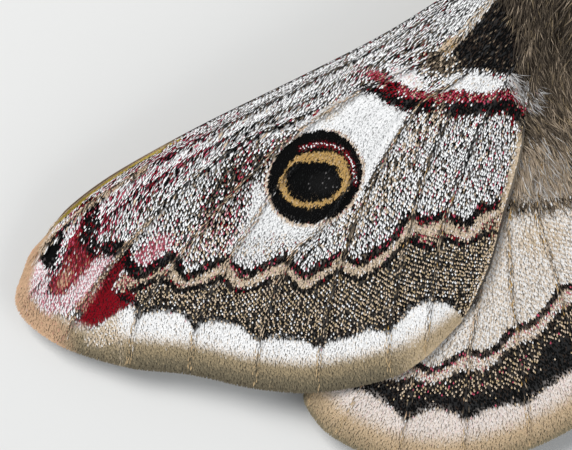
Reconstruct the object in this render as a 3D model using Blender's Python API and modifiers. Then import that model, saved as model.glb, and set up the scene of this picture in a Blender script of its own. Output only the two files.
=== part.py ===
"""An emperor moth, an adult female at rest with her wings spread, standing on six legs.

Metres, +Z up. The head points along -Y, and the moth's left side is at +X. The origin is on the
floor, under the middle of the box round the whole moth. Bodies are first placed from the hinge
line, the line across the thorax that joins the two forewing hinges, and then moved to the origin.
"""

import math

import bmesh
import bpy
import numpy as np
from mathutils import Matrix, Vector

# Driving sizes
MM = 0.001
FOREWING_LENGTH = 38.0 * MM
WING_THICKNESS = 0.5 * MM
GAP = 0.3 * MM
HINGE_HEIGHT = 6.4 * MM
HINGE_LINE_Y = -11.144 * MM
THORAX_SIDE = 3.0 * MM

# The wings of one side lie on a shallow roof: it falls outwards and backwards from the hinge
WING_DROOP = math.radians(6.0)
WING_PITCH = math.radians(4.5)
BODY_TILT_IN_PHOTO = math.radians(6.0)
DOME_RISE = 1.0 * MM
FOREWING_LIFT = 0.55 * MM
HINDWING_LIFT = -0.65 * MM
COSTA_ROLL = 0.8 * MM
COSTA_ROLL_WIDTH = 1.3 * MM
MARGIN_ROLL = 0.25 * MM
MARGIN_ROLL_WIDTH = 1.3 * MM
VEIN_RISE = 0.2 * MM
PLEAT_DEPTH = 0.08 * MM
VEIN_FLANK = 0.13

# Pixels of the photograph that fix the wing plane: hinge, wing tip, the body's middle line
HINGE_PX = np.array([560.0, -60.0])
WING_TIP_PX = np.array([17.0, 290.0])
BODY_MIDDLE_PX = np.array([618.0, -60.0])
DOME_MIDDLE_PX = np.array([300.0, 170.0])
DOME_RADIUS_PX = np.array([330.0, 260.0])

# Forewing lines in those pixels, from the root to the margin. The wing is lofted through them.
FOREWING_LINES = {
    "front edge": [
        (560, -80), (500, -43), (438, 0), (380, 36), (302, 76), (200, 126), (117, 172), (73, 208),
        (52, 231),
    ],
    "subcosta": [
        (560, -75), (500, -34), (440, 12), (380, 48), (302, 88), (200, 140), (153, 165), (102, 196),
        (63, 229), (27, 263),
    ],
    "radius": [
        (561, -70), (497, -18), (440, 32), (370, 68), (300, 103), (230, 138), (170, 172), (120, 207),
        (70, 252), (18, 308),
    ],
    "first median": [
        (561, -65), (495, -8), (441, 44), (365, 84), (300, 118), (245, 143), (177, 194), (143, 229),
        (102, 276), (60, 344),
    ],
    "second median": [
        (562, -60), (490, 0), (443, 52), (354, 96), (290, 139), (254, 172), (208, 222), (174, 264),
        (138, 316), (128, 366),
    ],
    "third median": [
        (562, -55), (500, 5), (445, 62), (375, 105), (315, 150), (275, 190), (250, 228), (228, 262),
        (196, 328), (190, 373),
    ],
    "first cubital": [
        (563, -50), (508, 10), (450, 72), (405, 105), (372, 145), (345, 192), (322, 225), (287, 264),
        (260, 339), (255, 387),
    ],
    "second cubital": [
        (563, -45), (515, 14), (462, 76), (418, 106), (383, 160), (361, 205), (348, 238), (338, 270),
        (320, 346), (318, 391),
    ],
    "first anal": [
        (564, -40), (525, 20), (480, 74), (448, 115), (421, 180), (408, 230), (399, 267), (393, 300),
        (388, 331), (388, 377),
    ],
    "second anal": [
        (564, -34), (538, 28), (505, 82), (478, 130), (455, 185), (441, 228), (436, 255), (431, 290),
        (423, 357),
    ],
    "inner edge": [
        (565, -29), (549, 30), (533, 80), (526, 110), (521, 150), (514, 180), (505, 210), (491, 262),
        (474, 301), (461, 320),
    ],
}
# The share of the way out at which each vein rises from the membrane
FOREWING_VEIN_STARTS = [0.0, 0.0, 0.42, 0.42, 0.0, 0.55, 0.5, 0.0, 0.34, 0.0, 0.0]
FOREWING_STATIONS = 12

# Hindwing lines, in the same way
HINDWING_LINES = {
    "front edge": [
        (565, -34), (535, 60), (480, 140), (415, 225), (360, 300), (325, 345), (306, 380),
    ],
    "radius": [
        (566, -26), (532, 72), (482, 152), (420, 238), (367, 312), (327, 365), (307, 406),
    ],
    "first median": [
        (566, -19), (536, 80), (494, 157), (450, 235), (410, 305), (380, 355), (355, 399), (335, 438),
    ],
    "second median": [
        (567, -11), (542, 88), (508, 152), (478, 220), (450, 285), (431, 330), (418, 362), (405, 421),
        (398, 465),
    ],
    "third median": [
        (568, -3), (548, 88), (518, 150), (497, 205), (487, 255), (477, 310), (470, 349), (466, 420),
        (463, 469),
    ],
    "first cubital": [
        (569, 5), (556, 88), (533, 145), (517, 185), (509, 219), (509, 253), (514, 316), (527, 403),
        (532, 450),
    ],
    "second cubital": [
        (570, 13), (560, 95), (546, 145), (538, 190), (538, 219), (550, 258), (564, 305), (584, 372),
        (597, 416),
    ],
    "inner edge": [
        (571, 21), (564, 85), (561, 120), (566, 165), (575, 205), (590, 240), (606, 272), (626, 310),
        (632, 380),
    ],
}
HINDWING_VEIN_STARTS = [0.0, 0.0, 0.35, 0.4, 0.4, 0.0, 0.25, 0.0]
HINDWING_STATIONS = 11

# Thorax: a boxy egg, flat at the sides where the wings hinge
THORAX_MIDDLE = Vector((0, 2.3 * MM, 5.2 * MM))
THORAX_RADII = Vector((3.4 * MM, 5.4 * MM, 3.4 * MM))
THORAX_SQUARENESS = 0.82

# Head, eyes and feelers
HEAD_MIDDLE = Vector((0, -4.15 * MM, 5.0 * MM))
HEAD_RADII = Vector((1.55 * MM, 1.4 * MM, 1.65 * MM))
HEAD_SQUARENESS = 0.85
EYE_RADIUS = 0.85 * MM
EYE_MIDDLE = Vector((1.35 * MM, -4.4 * MM, 4.9 * MM))
PALP_LENGTH = 1.5 * MM
PALP_RADIUS = 0.34 * MM
FEELER_REACH = 8.6 * MM
FEELER_THICKNESS = 0.52 * MM
FEELER_TOOTH_PITCH = 0.66 * MM
FEELER_TOOTH_LENGTH = 0.8 * MM

# Abdomen: a turned body of eight rings
ABDOMEN_LENGTH = 14.2 * MM
ABDOMEN_RADIUS = 3.75 * MM
ABDOMEN_RINGS = 8
ABDOMEN_FLATNESS = 0.9
ABDOMEN_SLOPE = math.radians(10.0)
ABDOMEN_START = Vector((0, 7.0 * MM, 4.5 * MM))
RING_STEP = 0.16 * MM

# Legs: joints from the hip to the toe, for the left side, with the radius at each
LEG_JOINTS = {
    "foreleg": [
        (1.2, -1.3, 1.6), (2.1, -2.7, 1.45), (3.7, -4.3, 3.2), (5.0, -5.4, 1.7),
        (5.6, -5.9, 0.45), (6.3, -6.6, 0.2), (7.4, -7.7, 0.18),
    ],
    "midleg": [
        (1.5, 1.3, 1.6), (2.7, 1.1, 1.5), (5.1, 0.8, 3.4), (6.8, 1.4, 1.7),
        (7.4, 1.7, 0.45), (8.2, 2.0, 0.2), (9.8, 2.7, 0.18),
    ],
    "hindleg": [
        (1.4, 4.1, 1.6), (2.7, 4.9, 1.5), (5.3, 7.0, 3.0), (6.7, 9.4, 1.4),
        (7.1, 10.1, 0.45), (7.6, 11.0, 0.2), (8.4, 12.9, 0.18),
    ],
}
LEG_RADII = (0.45, 0.52, 0.46, 0.42, 0.3, 0.3, 0.27)

# Coat of long hair on the thorax, as flat tapered locks
LOCK_LENGTH = 2.7 * MM
LOCK_WIDTH = 1.25 * MM
LOCK_THICKNESS = 0.52 * MM
LOCK_ROOT_DEPTH = 0.55 * MM
LOCK_KEEL = 2.2
LOCK_RISE = 0.45 * MM
LOCK_LOOSENESS = 0.02 * MM
LOCK_SEED = 8
# Rows of locks over the back, from the collar to the waist: the place along the thorax, the widest
# turn from the midline in degrees, the number of locks and their size
BACK_ROWS = [
    (-0.95, 70, 6, 0.6),
    (-0.82, 58, 6, 0.8),
    (-0.62, 50, 6, 0.95),
    (-0.38, 50, 7, 1.05),
    (-0.12, 50, 7, 1.1),
    (0.14, 50, 6, 1.1),
    (0.4, 50, 6, 1.05),
    (0.62, 48, 6, 0.9),
]
SHOULDER_LOCKS = 7
SHOULDER_TURN = math.radians(54)
SHOULDER_SIZE = 1.45
# Places along the thorax of the short locks under the wings, clear of the legs
FLANK_PLACES = (-0.72, -0.36, -0.05, 0.2, 0.56)
FLANK_TURN = math.radians(108)
FLANK_SIZE = 0.62
# Rows of locks on the face: the climb from the front in degrees and the number of locks
FACE_ROWS = [(62, 5), (38, 4), (14, 3)]
FACE_LOCK_LENGTH = 1.3 * MM


def wing_axes():
    """Unit vectors of the left wings' plane: outwards, backwards and up from the membrane."""
    up = Vector((
        math.sin(WING_DROOP) * math.cos(WING_PITCH),
        math.sin(WING_PITCH),
        math.cos(WING_DROOP) * math.cos(WING_PITCH),
    ))
    outwards = Vector((math.cos(WING_DROOP), 0, -math.sin(WING_DROOP)))
    return np.array(outwards), np.array(up.cross(outwards)), np.array(up)


OUTWARDS, BACKWARDS, UPWARDS = wing_axes()
PX_PER_METRE = np.linalg.norm(WING_TIP_PX - HINGE_PX) / FOREWING_LENGTH
HINGE_X = (BODY_MIDDLE_PX - HINGE_PX)[0] * math.cos(BODY_TILT_IN_PHOTO) / PX_PER_METRE
HINGE_POINT = np.array([HINGE_X, 0.0, HINGE_HEIGHT])


def plane_of(px):
    """Metres outwards and backwards from the hinge, for points in the photograph's pixels."""
    right, down = (px - HINGE_PX)[..., 0], (px - HINGE_PX)[..., 1]
    cos, sin = math.cos(BODY_TILT_IN_PHOTO), math.sin(BODY_TILT_IN_PHOTO)
    return np.stack([sin * down - cos * right, cos * down + sin * right], axis=-1) / PX_PER_METRE


def dome(px):
    """Height of the wings' shared gentle dome over their plane."""
    return DOME_RISE * (1 - (((px - DOME_MIDDLE_PX) / DOME_RADIUS_PX) ** 2).sum(axis=-1))


def in_space(px, height):
    """Points of the left side, from pixels and the height over the wings' plane."""
    plane = plane_of(px)
    return (
        HINGE_POINT
        + plane[..., :1] * OUTWARDS
        + plane[..., 1:] * BACKWARDS
        + np.asarray(height)[..., None] * UPWARDS
    )


def roof_height(x, y):
    """Top of the forewing's surface over a point of the ground plan, taken without its veins."""
    flat = np.array([abs(x) - HINGE_X, y])
    cos, sin = math.cos(BODY_TILT_IN_PHOTO), math.sin(BODY_TILT_IN_PHOTO)
    right, down = sin * flat[1] - cos * flat[0], cos * flat[1] + sin * flat[0]
    px = HINGE_PX + np.array([right, down]) * PX_PER_METRE
    height = dome(px) + FOREWING_LIFT + WING_THICKNESS / 2
    rise = (height - UPWARDS[0] * flat[0] - UPWARDS[1] * flat[1]) / UPWARDS[2]
    return HINGE_HEIGHT + rise


def catmull(before, start, end, after, share):
    """Catmull-Rom spline between start and end."""
    return 0.5 * (
        2 * start
        + (end - before) * share
        + (2 * before - 5 * start + 4 * end - after) * share**2
        + (3 * start - before - 3 * end + after) * share**3
    )


def spline(points, at):
    """Points of a smooth curve through the given ones, at positions counted in points."""
    points = np.asarray(points, float)
    ends = [2 * points[0] - points[1], *points, 2 * points[-1] - points[-2]]
    found = []
    for position in at:
        k = min(int(position), len(points) - 2)
        found.append(catmull(*ends[k : k + 4], position - k))
    return np.array(found)


def even_spline(points, shares):
    """Points of the curve at shares of its length."""
    fine = spline(points, np.linspace(0, len(points) - 1, 40 * len(points)))
    length = np.concatenate([[0], np.cumsum(np.linalg.norm(np.diff(fine, axis=0), axis=1))])
    at = np.asarray(shares) * length[-1]
    return np.stack([np.interp(at, length, fine[:, i]) for i in range(fine.shape[1])], axis=1)


def wing_surface(lines, vein_starts, stations, lift):
    """Middle surface of a wing: an array of points, one row for each line from root to margin."""
    shares = np.linspace(0, 1, stations)
    rows = np.array([even_spline(line, shares) for line in lines.values()])
    last = len(lines) - 1
    across = sorted(
        {k + part for k in range(last) for part in (0, VEIN_FLANK, 0.5, 1 - VEIN_FLANK)} | {last}
    )
    px = np.stack([spline(rows[:, j], across) for j in range(stations)], axis=1)
    plane = plane_of(px)
    from_costa = np.linalg.norm(plane - plane[:1], axis=-1)
    from_margin = np.linalg.norm(plane - plane[:, -1:], axis=-1)
    chord = np.linalg.norm(plane[-1] - plane[0], axis=-1)
    spread = chord / chord.max()
    height = dome(px) + lift
    height -= MARGIN_ROLL * np.exp(-((from_margin / MARGIN_ROLL_WIDTH) ** 2))
    if lift > 0:
        roll = COSTA_ROLL * np.exp(-((from_costa / COSTA_ROLL_WIDTH) ** 2))
        height -= roll * np.clip(shares * 4, 0, 1)
    for i, position in enumerate(across):
        nearest = round(position)
        start = vein_starts[nearest]
        grown = np.clip((shares - start) / 0.08, 0, 1) if start else 1.0
        if position == nearest:
            height[i] += VEIN_RISE * grown * np.clip(spread * 2.5, 0, 1)
        elif abs(position - nearest) == 0.5:
            height[i] -= PLEAT_DEPTH * spread
    return in_space(px, height)


def collection(name):
    made = bpy.data.collections.new(name)
    bpy.context.scene.collection.children.link(made)
    return made


def material(name, colour, roughness):
    """A Principled material of one colour, given as linear red, green and blue."""
    made = bpy.data.materials.new(name)
    made.use_nodes = True
    shader = made.node_tree.nodes["Principled BSDF"]
    shader.inputs["Base Color"].default_value = (*colour, 1.0)
    shader.inputs["Roughness"].default_value = roughness
    shader.inputs["Metallic"].default_value = 0.0
    return made


def clear_scene():
    for obj in list(bpy.data.objects):
        bpy.data.objects.remove(obj)


def object_from(name, bm, look, where):
    """A named object in a collection, from a bmesh whose faces are turned outwards."""
    bmesh.ops.recalc_face_normals(bm, faces=bm.faces)
    if bm.calc_volume(signed=True) < 0:
        bmesh.ops.reverse_faces(bm, faces=bm.faces)
    mesh = bpy.data.meshes.new(name)
    bm.to_mesh(mesh)
    bm.free()
    mesh.materials.append(look)
    mesh.shade_smooth()
    mesh.set_sharp_from_angle(angle=math.radians(40))
    obj = bpy.data.objects.new(name, mesh)
    where.objects.link(obj)
    return obj


def mesh_of(obj, look, where):
    """The evaluated object as a plain mesh object with its ends welded; the first one goes."""
    graph = bpy.context.evaluated_depsgraph_get()
    mesh = bpy.data.meshes.new_from_object(obj.evaluated_get(graph))
    bm = bmesh.new()
    bm.from_mesh(mesh)
    bm.transform(obj.matrix_world)
    bmesh.ops.remove_doubles(bm, verts=bm.verts, dist=0.01 * MM)
    name = obj.name
    bpy.data.objects.remove(obj)
    return object_from(name, bm, look, where)


def tube(name, points, radii, look, where, sides=3):
    """A round tapering rod along points, from a bevelled curve, as a closed mesh."""
    curve = bpy.data.curves.new(name, "CURVE")
    curve.dimensions = "3D"
    curve.bevel_depth = 1.0
    curve.bevel_resolution = sides
    curve.use_fill_caps = True
    line = curve.splines.new("POLY")
    line.points.add(len(points) - 1)
    for node, point, radius in zip(line.points, points, radii):
        node.co = (*point, 1.0)
        node.radius = radius
    obj = bpy.data.objects.new(name, curve)
    where.objects.link(obj)
    bpy.context.view_layer.update()
    return mesh_of(obj, look, where)


def largest_body(bm):
    """Leaves only the largest closed surface in the bmesh."""
    left = set(bm.faces)
    bodies = []
    while left:
        body, edge_of_body = set(), [left.pop()]
        while edge_of_body:
            face = edge_of_body.pop()
            body.add(face)
            for edge in face.edges:
                for other in edge.link_faces:
                    if other in left:
                        left.discard(other)
                        edge_of_body.append(other)
        bodies.append(body)
    bodies.sort(key=lambda faces: sum(face.calc_area() for face in faces))
    loose = [face for body in bodies[:-1] for face in body]
    bmesh.ops.delete(bm, geom=loose, context="FACES")


def boolean(obj, pieces, operation, solver="EXACT"):
    """Joins pieces to obj, or cuts them from it, in one step, and removes them."""
    operands = bpy.data.collections.new("operands")
    bpy.context.scene.collection.children.link(operands)
    for piece in pieces:
        for owner in list(piece.users_collection):
            owner.objects.unlink(piece)
        operands.objects.link(piece)
    change = obj.modifiers.new("operation", "BOOLEAN")
    change.operation = operation
    change.operand_type = "COLLECTION"
    change.collection = operands
    change.solver = solver
    graph = bpy.context.evaluated_depsgraph_get()
    mesh = bpy.data.meshes.new_from_object(obj.evaluated_get(graph))
    obj.modifiers.clear()
    bm = bmesh.new()
    bm.from_mesh(mesh)
    largest_body(bm)
    bm.to_mesh(obj.data)
    bm.free()
    for piece in pieces:
        bpy.data.objects.remove(piece)
    bpy.data.collections.remove(operands)
    obj.data.shade_smooth()
    obj.data.set_sharp_from_angle(angle=math.radians(40))
    return obj


def make_wing(name, side, lines, vein_starts, stations, lift, look, where):
    """A wing: a grid laid on the wing's surface, split into triangles and given its thickness."""
    surface = wing_surface(lines, vein_starts, stations, lift)
    surface = surface - UPWARDS * (WING_THICKNESS / 2)
    surface[..., 0] *= side
    rows, columns = surface.shape[:2]
    bm = bmesh.new()
    bmesh.ops.create_grid(bm, x_segments=columns - 1, y_segments=rows - 1, size=1.0)
    bm.verts.ensure_lookup_table()
    for vertex, point in zip(bm.verts, surface.reshape(-1, 3)):
        vertex.co = point
    bmesh.ops.triangulate(bm, faces=bm.faces, quad_method="FIXED")
    thickness = Vector(UPWARDS * WING_THICKNESS)
    thickness.x *= side
    grown = bmesh.ops.extrude_face_region(bm, geom=bm.faces[:], use_keep_orig=True)
    top = [item for item in grown["geom"] if isinstance(item, bmesh.types.BMVert)]
    bmesh.ops.translate(bm, verts=top, vec=thickness)
    return object_from(name, bm, look, where)


def signed_power(value, power):
    return math.copysign(abs(value) ** power, value)


def egg(middle, radii, squareness, around, along):
    """A bmesh of a rounded box: a sphere with its poles along Y, whose faces are pushed out."""
    bm = bmesh.new()
    bmesh.ops.create_uvsphere(
        bm, u_segments=around, v_segments=along, radius=1.0, matrix=Matrix.Rotation(math.pi / 2, 4, "X")
    )
    for vertex in bm.verts:
        ring = math.hypot(vertex.co.x, vertex.co.z)
        fuller = ring**squareness / ring if ring > 1e-6 else 0.0
        vertex.co = Vector((
            middle.x + radii.x * vertex.co.x * fuller,
            middle.y + radii.y * signed_power(vertex.co.y, squareness),
            middle.z + radii.z * vertex.co.z * fuller,
        ))
    return bm


def lock(root, lie, normal, length, width, raised, random):
    """A flat, tapered lock of hair as a closed mesh: it rises from its root and bends over.

    raised gives the height by which a cross-section has to be lifted to clear the wing below it.
    """
    lie = (lie - normal * lie.dot(normal)).normalized()
    across = normal.cross(lie).normalized()
    places = (-0.2, 0.12, 0.45, 0.75)
    widths = (0.5, 0.85, 1.0, 0.62)
    bm = bmesh.new()
    rings = []
    for place, share in zip(places, widths):
        bend = math.sin(max(place, 0) * math.pi / 2)
        middle = root + lie * (length * place) + normal * (LOCK_RISE * bend - LOCK_ROOT_DEPTH * (1 - bend))
        half_width = across * (width * share / 2)
        half_thick = normal * (LOCK_THICKNESS / 2)
        below = half_thick * (1 + LOCK_KEEL * (1 - max(place, 0)))
        corners = [middle - half_width, middle - below, middle + half_width, middle + half_thick]
        lift = Vector((0, 0, max(raised(corner) for corner in corners)))
        loose = [Vector(random.normal(0, LOCK_LOOSENESS, 3)) for corner in corners]
        rings.append([bm.verts.new(corner + lift + shift) for corner, shift in zip(corners, loose)])
    end = root + lie * length + normal * (LOCK_RISE * 0.8)
    tip = bm.verts.new(end + Vector((0, 0, raised(end))))
    for first, second in zip(rings, rings[1:]):
        for k in range(4):
            bm.faces.new((first[k], first[(k + 1) % 4], second[(k + 1) % 4], second[k]))
    for k in range(4):
        bm.faces.new((rings[-1][k], rings[-1][(k + 1) % 4], tip))
    bm.faces.new(rings[0])
    bmesh.ops.triangulate(bm, faces=bm.faces)
    return bm


def abdomen_radius(share):
    """Half-width of the abdomen at a share of its length, without the steps of its rings."""
    full = math.sin(math.pi * (0.22 + 0.66 * share**0.9)) ** 0.62
    blunt = math.sqrt(max(1 - max(share - 0.8, 0) ** 2 / 0.052, 0.02))
    return ABDOMEN_RADIUS * full * blunt


def clearance(point):
    """How far a point of the coat has to rise to clear the forewing beside it, or the abdomen behind."""
    rise = 0.0
    if abs(point.x) > THORAX_SIDE - GAP and point.z > HINGE_HEIGHT - 1.5 * MM:
        rise = roof_height(point.x, point.y) + VEIN_RISE + GAP + 0.1 * MM - point.z
    behind = point.y - ABDOMEN_START.y
    if behind > -2 * GAP:
        radius = abdomen_radius(max(behind, 0) / ABDOMEN_LENGTH) + RING_STEP
        width = min(abs(point.x) / radius, 1)
        middle = ABDOMEN_START.z - behind * math.tan(ABDOMEN_SLOPE)
        top = middle + ABDOMEN_FLATNESS * radius * math.sqrt(1 - width**2)
        rise = max(rise, top + GAP + 0.1 * MM - point.z)
    return max(rise, 0.0)


def thorax_lock(along, turn, lie, size, look, where, random):
    """One lock rooted on the thorax, at a share of its half-length and a turn from the midline."""
    ring = math.sqrt(1 - along**2) ** THORAX_SQUARENESS
    facing = along * THORAX_RADII.x / THORAX_RADII.y / ring
    normal = Vector((math.sin(turn), facing, math.cos(turn))).normalized()
    root = THORAX_MIDDLE + Vector((
        THORAX_RADII.x * ring * math.sin(turn),
        THORAX_RADII.y * signed_power(along, THORAX_SQUARENESS),
        THORAX_RADII.z * ring * math.cos(turn),
    ))
    root.x = min(max(root.x, -THORAX_SIDE), THORAX_SIDE)
    length = LOCK_LENGTH * size * random.uniform(0.85, 1.1)
    width = LOCK_WIDTH * random.uniform(0.85, 1.1)
    return object_from("lock", lock(root, lie, normal, length, width, clearance, random), look, where)


def thorax_locks(look, where):
    """Locks in rows over the back, on the shoulders over the wing roots, and on the flanks."""
    random = np.random.default_rng(LOCK_SEED)
    pieces = []
    for along, widest, count, size in BACK_ROWS:
        for k in range(count):
            turn = math.radians(widest * (2 * k / (count - 1) - 1)) + random.normal(0, 0.03)
            lie = Vector((0.75 * math.sin(turn) + random.normal(0, 0.12), 1.0, 0.0))
            pieces.append(thorax_lock(along, turn, lie, size, look, where, random))
    for along in np.linspace(-0.45, 0.7, SHOULDER_LOCKS):
        for side in (1, -1):
            turn = side * SHOULDER_TURN + random.normal(0, 0.03)
            lie = Vector((side * 0.95, 0.8 + 0.5 * along, 0.0))
            pieces.append(thorax_lock(along, turn, lie, SHOULDER_SIZE, look, where, random))
    for along in FLANK_PLACES:
        for side in (1, -1):
            lie = Vector((side * 0.2, 0.7, -0.6))
            pieces.append(
                thorax_lock(along, side * FLANK_TURN, lie, FLANK_SIZE, look, where, random)
            )
    return pieces


def make_thorax(look, where):
    """Thorax with its coat of locks, cut flat at the waist and hollowed for the back of the head."""
    bm = egg(THORAX_MIDDLE, THORAX_RADII, THORAX_SQUARENESS, 24, 14)
    for vertex in bm.verts:
        vertex.co.x = min(max(vertex.co.x, -THORAX_SIDE), THORAX_SIDE)
    rearwards = Vector((0, math.cos(ABDOMEN_SLOPE), -math.sin(ABDOMEN_SLOPE)))
    waist = bmesh.ops.bisect_plane(
        bm,
        geom=bm.verts[:] + bm.edges[:] + bm.faces[:],
        plane_co=ABDOMEN_START - rearwards * GAP,
        plane_no=rearwards,
        clear_outer=True,
    )
    rim = [item for item in waist["geom_cut"] if isinstance(item, bmesh.types.BMEdge)]
    bmesh.ops.edgenet_fill(bm, edges=rim)
    thorax = object_from("thorax", bm, look, where)
    boolean(thorax, thorax_locks(look, where), "UNION", "MANIFOLD")
    room = HEAD_RADII + Vector((GAP, GAP, GAP))
    hollow = object_from("hollow", egg(HEAD_MIDDLE, room, HEAD_SQUARENESS, 20, 12), look, where)
    return boolean(thorax, [hollow], "DIFFERENCE", "MANIFOLD")


def make_head(look, where):
    """Head with a socket for each eye, two blunt palps under the face and a tuft of short locks."""
    head = object_from("head", egg(HEAD_MIDDLE, HEAD_RADII, HEAD_SQUARENESS, 20, 12), look, where)
    sockets = []
    for side in (1, -1):
        bm = bmesh.new()
        bmesh.ops.create_icosphere(bm, subdivisions=2, radius=EYE_RADIUS + GAP)
        bmesh.ops.translate(bm, verts=bm.verts, vec=(side * EYE_MIDDLE.x, EYE_MIDDLE.y, EYE_MIDDLE.z))
        sockets.append(object_from("socket", bm, look, where))
    boolean(head, sockets, "DIFFERENCE")
    pieces = []
    random = np.random.default_rng(LOCK_SEED)
    for side in (1, -1):
        root = HEAD_MIDDLE + Vector((side * 0.35 * MM, -0.7 * MM, -0.9 * MM))
        ahead = Vector((side * 0.12, -0.9, -0.42)).normalized()
        points = [root + ahead * (PALP_LENGTH * share) for share in (0, 0.5, 0.85, 1)]
        radii = [PALP_RADIUS * share for share in (0.9, 1, 0.8, 0.4)]
        pieces.append(tube("palp", points, radii, look, where, sides=1))
    for climb, count in FACE_ROWS:
        for k in range(count):
            turn = math.radians(24 * (2 * k / (count - 1) - 1))
            rise = math.radians(climb)
            normal = Vector((math.sin(turn), -math.cos(turn) * math.cos(rise), math.sin(rise))).normalized()
            root = HEAD_MIDDLE + Vector((n * r for n, r in zip(normal, HEAD_RADII)))
            lie = Vector((0.3 * math.sin(turn), -0.4, -1.0))
            bm = lock(root, lie, normal, FACE_LOCK_LENGTH, 0.7 * LOCK_WIDTH, lambda point: 0.0, random)
            pieces.append(object_from("lock", bm, look, where))
    return boolean(head, pieces, "UNION", "MANIFOLD")


def make_eye(name, side, look, where):
    bm = bmesh.new()
    bmesh.ops.create_icosphere(bm, subdivisions=3, radius=EYE_RADIUS)
    bmesh.ops.translate(bm, verts=bm.verts, vec=(side * EYE_MIDDLE.x, EYE_MIDDLE.y, EYE_MIDDLE.z))
    return object_from(name, bm, look, where)


def feeler_line(side, shares):
    """The feeler's middle line: outwards and ahead from the brow, curving down and back."""
    brow = HEAD_MIDDLE + Vector((side * 0.95 * MM, -1.05 * MM, 1.55 * MM))
    line = []
    for share in shares:
        turn = math.radians(-38 + 46 * share)
        outwards = FEELER_REACH * share * math.cos(turn)
        ahead = FEELER_REACH * share * math.sin(turn) * 0.9
        sink = (0.35 * share - 2.6 * share**2) * MM
        line.append(brow + Vector((side * outwards, ahead, sink)))
    return line


def make_feeler(name, side, look, where):
    """A feeler: a tapering rod with a short blunt tooth on each side of every joint."""
    shares = np.linspace(0, 1, 16)
    radii = [FEELER_THICKNESS / 2 * (1 - 0.35 * share) for share in shares]
    feeler = tube(name, feeler_line(side, shares), radii, look, where, sides=1)
    count = int(FEELER_REACH / FEELER_TOOTH_PITCH)
    teeth = []
    for k in range(1, count):
        share = k / count
        here, there = feeler_line(side, (share, share + 0.02))
        along = (there - here).normalized()
        across = along.cross(Vector((0, 0, 1))).normalized()
        reach = FEELER_TOOTH_LENGTH * (0.55 + 0.45 * math.sin(math.pi * min(share * 1.15, 1)))
        for way in (1, -1):
            out = (across * way + along * 0.55).normalized()
            bm = bmesh.new()
            bmesh.ops.create_cone(
                bm, cap_ends=True, segments=5, radius1=0.2 * MM, radius2=0.08 * MM, depth=reach
            )
            turned = out.to_track_quat("Z", "Y").to_matrix().to_4x4()
            bm.transform(Matrix.Translation(here + out * (reach / 2 + 0.03 * MM)) @ turned)
            teeth.append(object_from("tooth", bm, look, where))
    return boolean(feeler, teeth, "UNION")


def make_abdomen(look, where):
    """A turned body of rings, each a little wider at its rear edge, flattened from above."""
    outline = [(0.0, 0.0)]
    for ring in range(ABDOMEN_RINGS):
        for part in (0.0, 0.5, 0.96):
            share = (ring + part) / ABDOMEN_RINGS
            outline.append((abdomen_radius(share) + RING_STEP * (part - 0.5), ABDOMEN_LENGTH * share))
    outline.append((0.0, ABDOMEN_LENGTH))
    bm = bmesh.new()
    points = [bm.verts.new((radius, 0, -along)) for radius, along in outline]
    for first, second in zip(points, points[1:]):
        bm.edges.new((first, second))
    mesh = bpy.data.meshes.new("abdomen")
    bm.to_mesh(mesh)
    bm.free()
    obj = bpy.data.objects.new("abdomen", mesh)
    where.objects.link(obj)
    turn = obj.modifiers.new("turn", "SCREW")
    turn.steps = 20
    turn.render_steps = 20
    turn.use_merge_vertices = True
    turn.merge_threshold = 0.01 * MM
    lean = Matrix.Rotation(math.pi / 2 - ABDOMEN_SLOPE, 4, "X")
    flat = Matrix.Diagonal((1.0, ABDOMEN_FLATNESS, 1.0, 1.0))
    obj.matrix_world = Matrix.Translation(ABDOMEN_START) @ lean @ flat
    bpy.context.view_layer.update()
    return stood(mesh_of(obj, look, where))


def stood(obj):
    """Presses what would reach below the floor flat onto it."""
    for vertex in obj.data.vertices:
        vertex.co.z = max(vertex.co.z, 0.0)
    return obj


def make_leg(name, side, joints, look, where):
    """A leg as one tapering rod whose foot is flat where it meets the floor."""
    at = np.linspace(0, len(joints) - 1, 13)
    points = spline(joints, at) * MM
    points[:, 0] *= side
    radii = np.interp(at, range(len(joints)), LEG_RADII) * MM
    return stood(tube(name, points, radii, look, where, sides=2))


def main():
    clear_scene()
    moth = collection("emperor_moth")
    looks = {
        "grey_wing": material("grey_wing", (0.42, 0.37, 0.36), 0.8),
        "pale_wing": material("pale_wing", (0.6, 0.54, 0.47), 0.8),
        "brown_coat": material("brown_coat", (0.2, 0.16, 0.12), 0.9),
        "eye": material("eye", (0.03, 0.02, 0.015), 0.25),
        "leg": material("leg", (0.1, 0.07, 0.05), 0.7),
        "feeler": material("feeler", (0.34, 0.24, 0.13), 0.6),
    }
    made = [
        make_thorax(looks["brown_coat"], moth),
        make_head(looks["brown_coat"], moth),
        make_abdomen(looks["brown_coat"], moth),
    ]
    for side, word in ((1, "left"), (-1, "right")):
        made.append(make_wing(
            f"forewing_{word}", side, FOREWING_LINES, FOREWING_VEIN_STARTS,
            FOREWING_STATIONS, FOREWING_LIFT, looks["grey_wing"], moth,
        ))
        made.append(make_wing(
            f"hindwing_{word}", side, HINDWING_LINES, HINDWING_VEIN_STARTS,
            HINDWING_STATIONS, HINDWING_LIFT, looks["pale_wing"], moth,
        ))
        made.append(make_eye(f"eye_{word}", side, looks["eye"], moth))
        made.append(make_feeler(f"antenna_{word}", side, looks["feeler"], moth))
        for leg, joints in LEG_JOINTS.items():
            made.append(make_leg(f"{leg}_{word}", side, joints, looks["leg"], moth))
    for obj in made:
        obj.data.transform(Matrix.Translation((0, HINGE_LINE_Y, 0)))


main()
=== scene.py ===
import math

import bpy
import numpy as np
from mathutils import Matrix, Vector


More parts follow.
